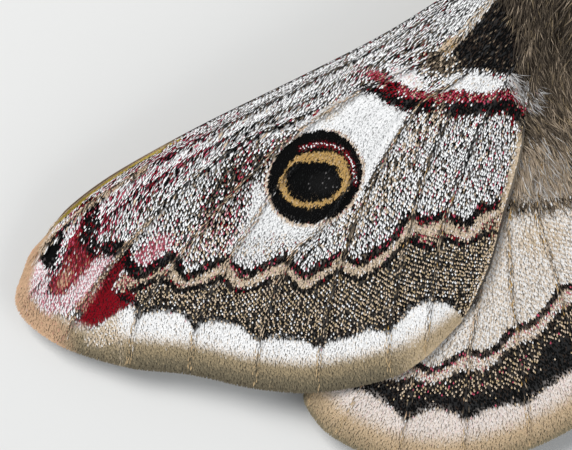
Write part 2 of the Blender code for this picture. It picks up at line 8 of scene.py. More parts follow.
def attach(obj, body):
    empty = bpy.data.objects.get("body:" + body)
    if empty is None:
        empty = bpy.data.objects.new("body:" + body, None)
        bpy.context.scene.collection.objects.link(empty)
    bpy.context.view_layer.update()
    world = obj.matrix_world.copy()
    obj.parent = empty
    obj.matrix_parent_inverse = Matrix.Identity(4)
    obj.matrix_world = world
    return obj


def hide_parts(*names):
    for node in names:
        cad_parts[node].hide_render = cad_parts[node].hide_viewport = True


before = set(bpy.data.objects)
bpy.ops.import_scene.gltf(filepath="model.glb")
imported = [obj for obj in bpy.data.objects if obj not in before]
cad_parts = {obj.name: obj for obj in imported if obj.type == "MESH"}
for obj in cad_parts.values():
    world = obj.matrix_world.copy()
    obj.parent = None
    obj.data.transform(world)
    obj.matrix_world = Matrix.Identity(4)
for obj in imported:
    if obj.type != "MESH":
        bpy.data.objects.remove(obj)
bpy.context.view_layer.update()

MM = 0.001

# The place of the wings
# The wings of one side lie on a shallow roof that falls outwards and backwards from the hinge, and
# both share one gentle dome. The photograph looks straight down on it, so its pixels place the
# front edge, the veins and the margin of each wing, which is lofted through them.
FOREWING_LENGTH = 38.0 * MM
HINGE_HEIGHT = 6.4 * MM
HINGE_LINE_Y = -11.144 * MM
WING_DROOP = math.radians(6.0)
WING_PITCH = math.radians(4.5)
BODY_TILT_IN_PHOTO = math.radians(6.0)
DOME_RISE = 1.0 * MM
HINGE_PX = np.array([560.0, -60.0])
WING_TIP_PX = np.array([17.0, 290.0])
BODY_MIDDLE_PX = np.array([618.0, -60.0])
DOME_MIDDLE_PX = np.array([300.0, 170.0])
DOME_RADIUS_PX = np.array([330.0, 260.0])

PX_PER_METRE = np.linalg.norm(WING_TIP_PX - HINGE_PX) / FOREWING_LENGTH
HINGE_X = (BODY_MIDDLE_PX - HINGE_PX)[0] * math.cos(BODY_TILT_IN_PHOTO) / PX_PER_METRE
HINGE_POINT = np.array([HINGE_X, HINGE_LINE_Y, HINGE_HEIGHT])
OUTWARDS = np.array([math.cos(WING_DROOP), 0, -math.sin(WING_DROOP)])
UPWARDS = np.array([
    math.sin(WING_DROOP) * math.cos(WING_PITCH),
    math.sin(WING_PITCH),
    math.cos(WING_DROOP) * math.cos(WING_PITCH),
])
BACKWARDS = np.cross(UPWARDS, OUTWARDS)
PHOTO_RIGHT = math.sin(BODY_TILT_IN_PHOTO) * BACKWARDS - math.cos(BODY_TILT_IN_PHOTO) * OUTWARDS
PHOTO_DOWN = math.cos(BODY_TILT_IN_PHOTO) * BACKWARDS + math.sin(BODY_TILT_IN_PHOTO) * OUTWARDS


def in_space(px, height):
    """Points of the left side: the hinge, plus the pixel steps right and down, plus the height."""
    steps = (px - HINGE_PX) / PX_PER_METRE
    height = np.asarray(height)[..., None]
    return HINGE_POINT + steps[..., :1] * PHOTO_RIGHT + steps[..., 1:] * PHOTO_DOWN + height * UPWARDS


def curve_through(points, at):
    """Catmull-Rom curve: a cubic between each two points, whose slope at a point is half the step
    between its neighbours. at counts points, and may be fractional."""
    points = np.asarray(points, float)
    ends = np.concatenate([2 * points[:1] - points[1:2], points, 2 * points[-1:] - points[-2:-1]])
    at = np.asarray(at, float)
    first = np.clip(at.astype(int), 0, len(points) - 2)
    t = (at - first).reshape((-1,) + (1,) * (points.ndim - 1))
    a, b, c, d = (ends[first + k] for k in range(4))
    return b + 0.5 * t * (c - a + t * (2 * a - 5 * b + 4 * c - d + t * (3 * (b - c) + d - a)))


def evenly(points, shares):
    """Points of the curve at the given shares of its length."""
    fine = curve_through(points, np.linspace(0, len(points) - 1, 40 * len(points)))
    length = np.concatenate([[0], np.cumsum(np.linalg.norm(np.diff(fine, axis=0), axis=1))])
    at = np.asarray(shares) * length[-1]
    return np.stack([np.interp(at, length, column) for column in fine.T], axis=-1)


class Surface:
    """A surface as a grid of points over two parameters, u down the rows and v along them."""

    def __init__(self, points):
        self.points = points
        self.down = np.gradient(points, axis=0)
        self.along = np.gradient(points, axis=1)

    def read(self, grid, u, v):
        """Values of a grid at places given as rows and columns, in proportion between four points."""
        i = np.clip(np.floor(u).astype(int), 0, len(grid) - 2)
        j = np.clip(np.floor(v).astype(int), 0, grid.shape[1] - 2)
        s = (u - i)[:, None]
        t = (v - j)[:, None]
        upper = grid[i, j] * (1 - t) + grid[i, j + 1] * t
        lower = grid[i + 1, j] * (1 - t) + grid[i + 1, j + 1] * t
        return upper * (1 - s) + lower * s

    def frame(self, u, v):
        """Point, unit vectors along and down the grid, and the normal, along cross down."""
        point = self.read(self.points, u, v)
        along = unit(self.read(self.along, u, v))
        down = self.read(self.down, u, v)
        up = unit(np.cross(along, down))
        return point, along, np.cross(up, along), up


def unit(vectors):
    return vectors / np.maximum(np.linalg.norm(vectors, axis=-1, keepdims=True), 1e-12)


def smooth_step(x):
    """0 below 0, 1 above 1, and a smooth S between."""
    t = np.clip(x, 0, 1)
    return t * t * (3 - 2 * t)


# The colours of the scales
# Each scale of a moth's wing has one colour, and the markings are mosaics of such scales. A mark
# below states the mixture of scale colours inside it, and each scale draws its colour from there.
SCALE_COLOURS = {
    "white": (0.90, 0.89, 0.88),
    "grey": (0.34, 0.32, 0.31),
    "black": (0.004, 0.004, 0.004),
    "soot": (0.036, 0.025, 0.019),
    "crimson": (0.24, 0.005, 0.012),
    "rose": (0.50, 0.08, 0.13),
    "pink": (0.70, 0.36, 0.39),
    "cream": (0.64, 0.50, 0.36),
    "buff": (0.52, 0.39, 0.23),
    "tan": (0.58, 0.37, 0.23),
    "ochre": (0.50, 0.30, 0.09),
    "olive": (0.17, 0.145, 0.095),
    "yellow": (0.46, 0.36, 0.05),
    "taupe": (0.19, 0.145, 0.10),
}
# A scale starts to count as light at the first brightness, and is wholly light a step above it
DULL = 0.12
LIGHT_STEP = 0.3
# The share of the mosaic's mean that the film below shows, and what full velvet adds to it
FILM_DARKEST = 0.15
FILM_IN_VELVET = 0.75
COLOUR_NAMES = list(SCALE_COLOURS)
COLOUR_TABLE = np.array(list(SCALE_COLOURS.values()))


def mixture(**parts):
    """Shares of each scale colour, which add up to one."""
    shares = np.array([parts.get(name, 0.0) for name in COLOUR_NAMES])
    return shares / shares.sum()


def picked(shares, chance):
    """One scale colour for each point: the first whose running share passes its chance."""
    running = np.cumsum(shares, axis=1)
    choice = (running < chance[:, None] * running[:, -1:]).sum(axis=1)
    return COLOUR_TABLE[np.minimum(choice, len(COLOUR_TABLE) - 1)]


class Mosaic:
    """The shares of scale colours at many points of a wing, in the photograph's pixels."""

    def __init__(self, px, ground):
        self.px = px
        self.x, self.y = px.T
        self.shares = np.tile(ground, (len(px), 1))
        self.velvet = np.zeros(len(px))
        self.raised = np.ones(len(px))
        self.size = np.ones(len(px))

    def lay(self, mask, velvet=0.0, raised=1.0, size=1.0, **parts):
        """Lays a mixture over what is there, as far as the mask goes from 0 to 1. In velvet the
        scales are nearly alike: each takes the mixture's mean colour that far. raised is 1 where
        light scales lie on the dark ones, 0 where all lie alike and 2 where dark ones lie on top,
        and size is a factor for the length of the scales."""
        self.velvet = self.velvet * (1 - mask) + velvet * mask
        self.raised = self.raised * (1 - mask) + raised * mask
        self.size = self.size * (1 - mask) + size * mask
        mask = mask[:, None]
        self.shares = self.shares * (1 - mask) + mixture(**parts) * mask

    def from_line(self, line):
        """Distance to the nearest point of a line of points."""
        nearest = np.full(len(self.px), np.inf)
        points = np.asarray(line, float)
        for start, end in zip(points, points[1:]):
            step = end - start
            share = np.clip((self.px - start) @ step / (step @ step), 0, 1)
            away = np.linalg.norm(self.px - start - share[:, None] * step, axis=1)
            nearest = np.minimum(nearest, away)
        return nearest

    def stripe(self, line, half_width, soft=1.5):
        """Mask of a stripe along a line."""
        return smooth_step((half_width - self.from_line(line)) / soft + 0.5)

    def under(self, line, soft=2.0):
        """Mask of what lies below a line that runs across the picture."""
        xs, ys = np.asarray(line, float).T
        order = np.argsort(xs)
        return smooth_step((self.y - np.interp(self.x, xs[order], ys[order])) / soft + 0.5)

    def field(self, outline, soft=4.0):
        """Mask of a field: a ray to the right crosses its outline an odd number of times inside."""
        closed = np.asarray([*outline, outline[0]], float)
        inside = np.zeros(len(self.px), bool)
        for (x0, y0), (x1, y1) in zip(closed, closed[1:]):
            if y0 == y1:
                continue
            crossing = x0 + (self.y - y0) * (x1 - x0) / (y1 - y0)
            inside ^= ((y0 > self.y) != (y1 > self.y)) & (self.x < crossing)
        away = self.from_line(closed)
        return smooth_step(np.where(inside, away, -away) / soft + 0.5)

    def oval(self, middle, radii, turn=0.0, soft=1.5):
        """Mask of an ellipse whose first radius is turned up from the right by some degrees."""
        cos, sin = math.cos(math.radians(turn)), math.sin(math.radians(turn))
        right, down = (self.px - middle).T
        ratio = np.hypot((right * cos - down * sin) / radii[0], (right * sin + down * cos) / radii[1])
        return smooth_step((1 - ratio) * min(radii) / soft + 0.5)

    def drawn(self, chance):
        """The colour picked for each scale, turned towards the mean as far as the velvet goes."""
        velvet = self.velvet[:, None]
        return picked(self.shares, chance) * (1 - velvet) + self.mean() * velvet

    def on_top(self, colours):
        """How far each scale of the given colours lies over its neighbours, from 0 to 1."""
        light = smooth_step((colours.mean(axis=-1) - DULL) / LIGHT_STEP) * (1 - self.velvet)
        return light * np.minimum(self.raised, 1) + (1 - light) * np.maximum(self.raised - 1, 0)

    def mean(self):
        """The mixture's mean colour at each point."""
        return self.shares @ COLOUR_TABLE

    def ground(self):
        """The colour of the film below: dark under a mosaic, nearly the mean under velvet."""
        return self.mean() * (FILM_DARKEST + FILM_IN_VELVET * self.velvet)[:, None]


# Looks
# The materials are put together node by node. A Socket is an output that takes part in sums.
class Socket:
    """A shader socket in an expression: an operator on it adds the Math node that does the sum."""

    def __init__(self, look, socket):
        self.look = look
        self.socket = socket

    def sum(self, operation, first, second):
        return self.look.add("ShaderNodeMath", {"operation": operation}, {0: first, 1: second})

    def __add__(self, other):
        return self.sum("ADD", self, other)

    def __radd__(self, other):
        return self.sum("ADD", other, self)

    def __mul__(self, other):
        return self.sum("MULTIPLY", self, other)

    def __rmul__(self, other):
        return self.sum("MULTIPLY", other, self)


class Look:
    """A material with a Principled shader, to which add brings in any other node."""

    def __init__(self, name, roughness, specular):
        self.material = bpy.data.materials.new(name)
        self.material.use_nodes = True
        self.tree = self.material.node_tree
        self.shader = self.tree.nodes["Principled BSDF"]
        self.set("Roughness", roughness)
        self.set("Specular IOR Level", specular)

    def add(self, kind, settings=None, inputs=None, output=0):
        """Adds a node: its settings first, then a value or a link for each named socket."""
        node = self.tree.nodes.new(kind)
        for name, value in (settings or {}).items():
            setattr(node, name, value)
        for name, value in (inputs or {}).items():
            self.connect(value, node.inputs[name])
        return Socket(self, node.outputs[output])

    def connect(self, value, socket):
        if isinstance(value, Socket):
            self.tree.links.new(value.socket, socket)
        else:
            socket.default_value = value

    def set(self, name, value):
        self.connect(value, self.shader.inputs[name])

    def place(self):
        """The point's own place on the object."""
        return self.add("ShaderNodeTexCoord", output="Object")

    def noise(self, scale, detail):
        inputs = {"Vector": self.place(), "Scale": scale, "Detail": detail}
        return self.add("ShaderNodeTexNoise", {}, inputs)

    def between(self, amount, first, second):
        """A colour part of the way from one to the other, by a number socket."""
        inputs = {0: amount, 6: (*first, 1.0), 7: (*second, 1.0)}
        return self.add("ShaderNodeMix", {"data_type": "RGBA"}, inputs, output=2)

    def painted(self, name, amount):
        """The colour attribute, lightened and darkened by a number socket."""
        colour = self.add("ShaderNodeAttribute", {"attribute_name": name})
        settings = {"data_type": "RGBA", "blend_type": "MULTIPLY"}
        return self.add("ShaderNodeMix", settings, {0: 1.0, 6: colour, 7: amount}, output=2)

    def bump(self, height, distance, strength):
        inputs = {"Height": height, "Distance": distance, "Strength": strength}
        self.set("Normal", self.add("ShaderNodeBump", {}, inputs))


def grained(name, roughness, specular, scale, detail, shade, distance, strength, gloss=None):
    """A look painted by the colour attribute, whose fine noise varies the shade, the gloss and the
    height. shade and gloss are a least value and what the noise adds to it."""
    look = Look(name, roughness, specular)
    grain = look.noise(scale, detail)
    look.set("Base Color", look.painted("Colour", shade[0] + shade[1] * grain))
    if gloss:
        look.set("Roughness", gloss[0] + gloss[1] * grain)
    look.bump(grain, distance, strength)
    return look


# Wing membranes and scales
# A membrane is a thin clear film, stiffened by veins, with rows of scales laid like roof tiles on
# both faces. The film is one closed sheet, and the scales are small closed leaves rooted in it.
FOREWING_LINES = {
    "front edge": [
        (560, -80), (500, -43), (438, 0), (380, 36), (302, 76), (200, 126), (117, 172), (71, 206),
        (50.5, 230),
    ],
    "subcosta": [
        (560, -75), (500, -34), (440, 12), (380, 48), (302, 88), (200, 140), (153, 165), (102, 196),
        (63, 229), (27, 263),
    ],
    "radius": [
        (561, -70), (497, -18), (440, 32), (370, 68), (300, 103), (230, 138), (170, 172), (120, 207),
        (70, 252), (18, 308),
    ],
    "first median": [
        (561, -65), (495, -8), (441, 44), (365, 84), (300, 118), (245, 143), (177, 194), (143, 229),
        (102, 276), (60, 344),
    ],
    "second median": [
        (562, -60), (490, 0), (443, 52), (354, 96), (290, 139), (254, 172), (208, 222), (174, 264),
        (138, 316), (128, 366),
    ],
    "third median": [
        (562, -55), (500, 5), (445, 62), (375, 105), (315, 150), (275, 190), (250, 228), (228, 262),
        (196, 328), (190, 373),
    ],
    "first cubital": [
        (563, -50), (508, 10), (450, 72), (405, 105), (372, 145), (345, 192), (322, 225), (287, 264),
        (260, 339), (255, 387),
    ],
    "second cubital": [
        (563, -45), (515, 14), (462, 76), (418, 106), (383, 160), (361, 205), (348, 238), (338, 270),
        (320, 346), (318, 391),
    ],
    "first anal": [
        (564, -40), (525, 20), (480, 74), (448, 115), (421, 180), (408, 230), (399, 267), (393, 300),
        (388, 331), (388, 377),
    ],
    "second anal": [
        (564, -34), (538, 28), (505, 82), (478, 130), (455, 185), (441, 228), (436, 255), (431, 290),
        (423, 357),
    ],
    "inner edge": [
        (565, -29), (549, 30), (533, 80), (526, 110), (521, 150), (514, 180), (505, 210), (491, 262),
        (474, 301), (461, 320),
    ],
}
# The share of the way out at which each vein rises from the membrane
FOREWING_VEIN_STARTS = [0.0, 0.0, 0.42, 0.42, 0.0, 0.55, 0.5, 0.0, 0.34, 0.0, 0.0]
FOREWING_LIFT = 0.36 * MM

HINDWING_LINES = {
    "front edge": [
        (565, -34), (535, 60), (480, 140), (415, 225), (360, 300), (325, 345), (306, 380),
    ],
    "radius": [
        (566, -26), (532, 72), (482, 152), (420, 238), (367, 312), (327, 365), (307, 406),
    ],
    "first median": [
        (566, -19), (536, 80), (494, 157), (450, 235), (410, 305), (380, 355), (355, 399), (335, 438),
    ],
    "second median": [
        (567, -11), (542, 88), (508, 152), (478, 220), (450, 285), (431, 330), (418, 362), (405, 421),
        (398, 465),
    ],
    "third median": [
        (568, -3), (548, 88), (518, 150), (497, 205), (487, 255), (477, 310), (470, 349), (466, 420),
        (463, 469),
    ],
    "first cubital": [
        (569, 5), (556, 88), (533, 145), (517, 185), (509, 219), (509, 253), (514, 316), (527, 403),
        (532, 450),
    ],
    "second cubital": [
        (570, 13), (560, 95), (546, 145), (538, 190), (538, 219), (550, 258), (564, 305), (584, 372),
        (597, 416),
    ],
    "inner edge": [
        (571, 21), (564, 85), (561, 120), (566, 165), (575, 205), (590, 240), (606, 272), (626, 310),
        (632, 380),
    ],
}
HINDWING_VEIN_STARTS = [0.0, 0.0, 0.35, 0.4, 0.4, 0.0, 0.25, 0.0]
HINDWING_LIFT = -0.48 * MM

# How far the rims roll down, how wide the roll is, and how it sets in at the root and fades at the
# tip, as shares of the way out
COSTA_ROLL = 0.8 * MM
COSTA_ROLL_WIDTH = 1.3 * MM
ROLL_START = 0.25
TIP_FADE = 0.22
MARGIN_ROLL = 0.25 * MM
MARGIN_ROLL_WIDTH = 1.3 * MM
INNER_ROLL = 0.3 * MM
INNER_ROLL_WIDTH = 1.2 * MM
# The veins' ridges, which are lower on the crowded veins before a line counted from the front edge
VEIN_RISE = 0.16 * MM
FRONT_VEIN_SHARE = 0.4
FRONT_VEINS_END = 2.2
VEIN_HALF_WIDTH = 0.16 * MM
VEIN_FADE = 1.6 * MM
PLEAT_DEPTH = 0.14 * MM
FILM_HALF_THICKNESS = 0.04 * MM
STATIONS = 150
ROWS_PER_GAP = 20
# Steps across the gap between two veins for the film's own mesh, closest beside the veins
FILM_STEPS = (0.0, 0.035, 0.08, 0.15, 0.28, 0.5, 0.72, 0.85, 0.92, 0.965)


class Wing:
    """A wing as a loft. p counts its lines from the front edge, and q is the share of the way out.
    Scales are hair-like before the line hair_front and within the share hair_root, and sweep gives
    the degrees of their slant at even steps from the front edge to the inner one."""

    def __init__(self, lines, vein_starts, lift, hair_front, hair_root, sweep):
        shares = np.linspace(0, 1, STATIONS)
        rows = np.array([evenly(line, shares) for line in lines.values()])
        self.gaps = len(rows) - 1
        at = np.linspace(0, self.gaps, self.gaps * ROWS_PER_GAP + 1)
        self.px_grid = curve_through(rows, at)
        steps = np.linalg.norm(np.diff(self.px_grid, axis=1), axis=-1)
        self.length = np.concatenate([np.zeros((len(at), 1)), np.cumsum(steps, axis=1)], axis=1)
        self.vein_starts = np.array(vein_starts)
        self.lift = lift
        self.hair_front = hair_front
        self.hair_root = hair_root
        self.sweeps = sweep
        self.map = Surface(self.px_grid)
        chord = np.linalg.norm(self.px_grid[-1] - self.px_grid[0], axis=-1)
        self.chord = chord / chord.max()

    def rows(self, p):
        return np.asarray(p) * ROWS_PER_GAP

    def px(self, p, q):
        return self.map.read(self.px_grid, self.rows(p), q * (STATIONS - 1))

    def run(self, p, q):
        """Pixels along the wing from its root to a point."""
        return self.map.read(self.length[..., None], self.rows(p), q * (STATIONS - 1))[:, 0]

    def whole(self, p):
        """Pixels along the wing from its root to the margin."""
        return self.run(p, np.ones(len(p)))

    def margin(self, p, q):
        """Pixels left along the wing from a point to the margin."""
        return self.whole(p) - self.run(p, q)

    def from_vein(self, p, q):
        """Metres to the nearest vein's line, and how far that vein has risen there."""
        nearest = np.round(p).astype(int)
        across = self.map.read(self.map.down, self.rows(p), q * (STATIONS - 1)) * ROWS_PER_GAP
        away = np.abs(p - nearest) * np.linalg.norm(across, axis=-1) / PX_PER_METRE
        start = self.vein_starts[nearest]
        return away, np.where(start > 0, smooth_step((q - start) / 0.08), 1.0)

    def height(self, px, p, q):
        """Height over the wings' plane: the dome, less the rolls down at the margin and, on the
        forewing, at its front and inner edges, plus a bell-shaped ridge on each vein, less a
        shallow pleat between veins."""
        height = DOME_RISE * (1 - (((px - DOME_MIDDLE_PX) / DOME_RADIUS_PX) ** 2).sum(axis=-1)) + self.lift
        to_margin = self.margin(p, q) / PX_PER_METRE
        height -= MARGIN_ROLL * np.exp(-((to_margin / MARGIN_ROLL_WIDTH) ** 2))
        if self.lift > 0:
            front = self.px(np.zeros_like(p), q)
            to_front = np.linalg.norm(px - front, axis=-1) / PX_PER_METRE
            rolled = np.clip(q / ROLL_START, 0, 1)
            faded = rolled * smooth_step((1 - q) / TIP_FADE)
            height -= COSTA_ROLL * np.exp(-((to_front / COSTA_ROLL_WIDTH) ** 2)) * faded
            inner = self.px(np.full_like(p, self.gaps), q)
            to_inner = np.linalg.norm(px - inner, axis=-1) / PX_PER_METRE
            height -= INNER_ROLL * np.exp(-((to_inner / INNER_ROLL_WIDTH) ** 2)) * rolled
        away, risen = self.from_vein(p, q)
        spread = np.interp(q, np.linspace(0, 1, STATIONS), self.chord)
        risen = risen * np.clip(spread * 2.5, 0, 1) * smooth_step(to_margin / VEIN_FADE)
        flatter = FRONT_VEIN_SHARE + (1 - FRONT_VEIN_SHARE) * smooth_step((p - FRONT_VEINS_END) / 0.8)
        ridge = VEIN_RISE * flatter * risen * np.exp(-((away / VEIN_HALF_WIDTH) ** 2))
        return height + ridge - PLEAT_DEPTH * spread * np.sin(np.pi * p) ** 2

    def points(self, p, q):
        px = self.px(p, q)
        return in_space(px, self.height(px, p, q))

    def frame(self, p, q, face=1):
        """Point, unit vector outwards along the veins, and the normal of one face."""
        back, on = np.maximum(q - 0.004, 0.0), np.minimum(q + 0.004, 1.0)
        left, right = np.maximum(p - 0.02, 0.0), np.minimum(p + 0.02, self.gaps)
        ahead = unit(self.points(p, on) - self.points(p, back))
        up = unit(np.cross(ahead, self.points(right, q) - self.points(left, q)))
        return self.points(p, q), ahead, up * np.sign(up @ UPWARDS)[:, None] * face

    def hairlike(self, p, q):
        """How far the scales are narrow like hairs, as they are at the front edge and the root."""
        front = smooth_step((self.hair_front - p) / 1.6)
        root = smooth_step((self.hair_root - q) / 0.15)
        return np.clip(np.maximum(front, root), 0.1, 1.0)

    def sweep(self, p, q):
        """Radians by which the scales lie further back than the veins: most at the front edge."""
        degrees = np.interp(p, np.linspace(0, self.gaps, len(self.sweeps)), self.sweeps)
        return np.radians(degrees) * (0.3 + 0.7 * smooth_step((q - 0.15) / 0.3))


forewing = Wing(
    FOREWING_LINES, FOREWING_VEIN_STARTS, FOREWING_LIFT,
    hair_front=3.6, hair_root=0.3, sweep=(34, 31, 22, 12, 5, 0),
)
hindwing = Wing(
    HINDWING_LINES, HINDWING_VEIN_STARTS, HINDWING_LIFT, hair_front=0.0, hair_root=0.45, sweep=(0, 0)
)


def marginal(marks, to_margin, white, olive, tan):
    """The pale border: white inside, then cream and buff, and greenish grey at the very edge, where
    soot adds painted shade of the rim that rolls down. olive tells how far it gets to that grey, and
    tan how far it turns to plain tan, as at the tip."""
    marks.lay(white, 0.6, white=0.92, cream=0.08)
    marks.lay(white * smooth_step((44 - to_margin) / 18), 0.7, white=0.4, cream=0.5, buff=0.1)
    marks.lay(white * smooth_step((34 - to_margin) / 15), 0.75, cream=0.24, buff=0.58, olive=0.18)
    marks.lay(white * olive * smooth_step((37 - to_margin) / 14), 0.75, buff=0.46, olive=0.54)
    # The soot near the very edge is painted shade, where the margin rolls down
    marks.lay(white * olive * smooth_step((24 - to_margin) / 14), 0.75, buff=0.08, olive=0.8, soot=0.12)
    marks.lay(white * olive * smooth_step((10 - to_margin) / 9), 0.75, olive=0.6, soot=0.4)
    marks.lay(white * tan, 0.8, tan=0.76, buff=0.2, rose=0.04)


# Forewing markings, in pixels
RED_LINE = [
    (346, 68), (362, 71), (376, 75), (392, 86), (415, 95), (430, 99), (453, 94), (469, 97), (484, 99),
    (500, 94), (512, 94), (521, 105), (525, 114),
]
RED_LINE_CORE = [
    (352, 87), (384, 96), (404, 104), (438, 108), (469, 108), (492, 107), (507, 103), (520, 117), (522, 122),
]
WHITE_BEFORE_EYE = [
    (300, 132), (319, 113), (340, 99), (358, 94), (376, 95), (388, 106), (408, 113), (397, 133),
    (376, 163), (366, 182), (350, 190), (300, 170),
]
WHITE_BEHIND_EYE = [
    (258, 186), (254, 212), (247, 231), (238, 244), (226, 260), (262, 258), (282, 241), (300, 238),
    (319, 227), (332, 214), (300, 215), (270, 198),
]
BROWN_VEIN = [(436, 118), (414, 136), (396, 168), (378, 196), (352, 226)]
DARK_SMUDGE = [(288, 138), (262, 176), (244, 205), (222, 235), (190, 236), (196, 205), (214, 178), (240, 150)]
BELOW_SMUDGE = [(205, 215), (232, 205), (250, 222), (228, 262), (180, 258), (176, 232)]
BASAL_FIELD = [
    (466, 22), (500, -12), (560, -40), (560, 60), (548, 98), (520, 82), (492, 70), (462, 72), (448, 62),
]
ROOT_RIDGE = [(506, -18), (490, 2), (469, 24), (461, 36)]
FIRST_DARK_LINE = [
    (138, 271), (150, 268), (165, 260), (175, 253), (179, 257), (181, 268), (187, 275), (200, 270),
    (213, 263), (229, 256), (235, 263),
    (245, 272), (259, 267), (275, 259), (287, 255), (294, 263), (302, 271), (308, 273), (318, 266),
    (329, 260), (341, 251), (349, 257), (359, 261), (370, 253), (383, 246), (394, 236), (399, 226),
    (409, 213), (417, 216), (433, 217), (444, 212), (451, 215), (461, 220), (467, 221), (472, 215),
    (481, 204), (490, 206), (502, 200),
]
CREAM_ZIGZAG = [
    (120, 283), (133, 277), (154, 270), (173, 261), (179, 276), (190, 281), (202, 276), (226, 263),
    (236, 279), (248, 283), (268, 272), (287, 265), (294, 274), (305, 283), (315, 276), (327, 266),
    (341, 259), (349, 266), (361, 269), (373, 263), (385, 255), (397, 240), (404, 236), (412, 223),
    (419, 227), (430, 230), (441, 223), (452, 228), (465, 234), (474, 228), (481, 217), (493, 211),
]
SECOND_DARK_LINE = [
    (120, 294), (138, 287), (160, 276), (171, 281), (179, 289), (197, 285), (221, 276), (237, 289),
    (255, 286), (271, 277), (289, 276), (299, 288), (308, 289), (318, 282), (329, 275), (340, 267),
    (347, 274), (356, 277), (368, 272), (383, 263), (396, 251), (404, 240), (411, 235), (419, 244),
    (428, 247), (436, 243), (444, 236), (452, 239), (462, 242), (471, 239), (481, 234), (496, 230),
]
BAND_EDGE = [
    (112, 312), (124, 307), (132, 302), (137, 318), (144, 312), (164, 309), (182, 312), (190, 320),
    (195, 329), (202, 321), (219, 320), (239, 323), (248, 331), (259, 340), (268, 336), (295, 338),
    (308, 340), (319, 347), (328, 340), (351, 335), (369, 328), (388, 331), (395, 323), (410, 308),
    (425, 300), (444, 301), (455, 308), (462, 316),
]
TIP_HOOK = [(43, 264), (39, 292), (50, 304), (67, 301), (86, 283), (103, 264), (119, 251)]
TIP_FIELD = [
    (84, 206), (86, 222), (84, 245), (112, 252), (100, 268), (80, 286), (58, 296), (50, 284), (56, 268),
    (65, 250), (72, 230),
]
CRIMSON_PATCH = [
    (122, 254), (112, 266), (104, 283), (94, 297), (85, 310), (73, 322), (80, 329), (97, 322), (113, 314),
    (130, 303), (138, 291), (128, 289), (117, 292), (115, 284), (120, 273), (128, 264),
]
TIP_LENS = [(66, 228), (57, 233), (49, 241), (43, 252), (44, 259), (51, 269), (57, 263), (62, 246), (65, 237)]
TIP_BAR = [(94, 204), (93, 222), (89, 238), (96, 246), (110, 247), (125, 246)]
TIP_HOOK_BAR = [(121, 245), (126, 255), (132, 265), (139, 271)]
TIP_CRIMSON = [(87, 206), (82, 218), (76, 232), (70, 248)]
TIP_VEIN = [(149, 222), (122, 252), (97, 283), (84, 300), (69, 327)]
FRONT_VEIN = [(150, 166), (120, 185), (93, 202), (77, 215), (63, 226), (48, 241), (42, 250)]
PINK_LENS = [(136, 262), (138, 250), (156, 236), (172, 230), (174, 243), (160, 257), (146, 266)]
BESIDE_LENS = [(64, 226), (80, 212), (82, 216), (66, 254), (58, 272), (43, 264), (56, 262)]
PALE_CORNER = [(88, 330), (104, 322), (120, 309), (135, 303), (140, 330), (100, 345), (84, 340)]
EYE_CRESCENT = [
    (302, 147.5), (312, 145), (324, 143), (334, 145), (343, 149), (348.5, 155), (352.5, 163), (354, 172),
    (353.5, 181),
]
EYE_RING = [
    (279, 185), (282, 177), (290, 164), (295, 156), (306, 152.5), (322, 150.5), (334, 150.5), (343, 156),
    (348.5, 165), (350.5, 176), (348, 188), (338, 197), (326, 203.5), (311, 207.5), (296, 204), (285, 196),
]
EYE_PUPIL = [
    (285, 179), (289, 168), (296, 162.5), (306, 160.5), (326, 161), (338, 165), (342.5, 180), (340.5, 189),
    (332, 196), (318, 200.5), (302, 200.5), (291, 195),
]
# Ovals: the middle, the two radii and the turn in degrees
ROOT_SHADE = (440, 62), (20, 12), -20
ROOT_LIGHT = (466, 12), (28, 13), 42
ROOT_SPOT = (450, 44), (11, 5.5), 45
ROOT_BLUSH = (412, 50), (26, 12), 25
FRONT_WHITE_EDGE = (408, 78), (17, 8), -22
REAR_WHITE_EDGE = (477, 83), (27, 9), -3
RED_LINE_KNOT = (392, 87), (10, 4.5), 30
SPECKLED_PATCH = (266, 246), (38, 12), 8
OLIVE_TINGE = (332, 111), (15, 7), 32
EYE_RIM = (315.4, 176.5), (52.5, 45.5), 45
EYE_BLACK = (315, 176), (49.3, 42.6), 45
# The place of a faint painted glint on the eyespot's pupil
EYE_GLINT = (324, 182), (14, 10), 0
TIP_TAN = (66, 276), (12, 5), 60
CRIMSON_SHADE = (113, 270), (18, 7), 58
CRIMSON_NOTCH = (127, 279), (10, 5), 25
CRIMSON_CORNER = (127, 297), (11, 5), -35
# The velvet, the raised and the size that Mosaic.lay takes, in the dark speckled bands
BAND_SCALES = 0.0, 0.3, 0.62
HOOK_MIXTURE = {"white": 0.54, "rose": 0.26, "crimson": 0.12, "pink": 0.08}
# Where each band of the front edge near the tip ends and fades, counted in lines from the edge
FRONT_EDGE_BANDS = (0.56, 0.1), (0.36, 0.1), (0.12, 0.06)
FOREWING_GROUND = {
    "white": 0.27, "grey": 0.04, "black": 0.55, "crimson": 0.02, "rose": 0.02, "taupe": 0.08, "cream": 0.02,
}
# The column of the picture behind which the zigzag lines and the bands begin
BANDS_START_PX = 116


def mark_ground(marks, p):
    """The ground in front, redder near the tip, and the smudge on the tip's side of the eyespot."""
    lay, field = marks.lay, marks.field
    front = smooth_step((3.1 - p) / 1.1)
    near_tip = smooth_step((260 - marks.x) / 90)
    lay(front, white=0.29, grey=0.05, black=0.49, crimson=0.03, taupe=0.14)
    lay(front * near_tip, white=0.17, black=0.6, crimson=0.12, rose=0.11)
    smudge = 0.9 * field(DARK_SMUDGE, 26)
    lay(smudge, white=0.04, grey=0.02, black=0.74, taupe=0.12, crimson=0.06, rose=0.02)
    below_smudge = 0.7 * field(BELOW_SMUDGE, 14)
    lay(below_smudge, white=0.1, cream=0.1, pink=0.04, rose=0.04, crimson=0.06, black=0.66)


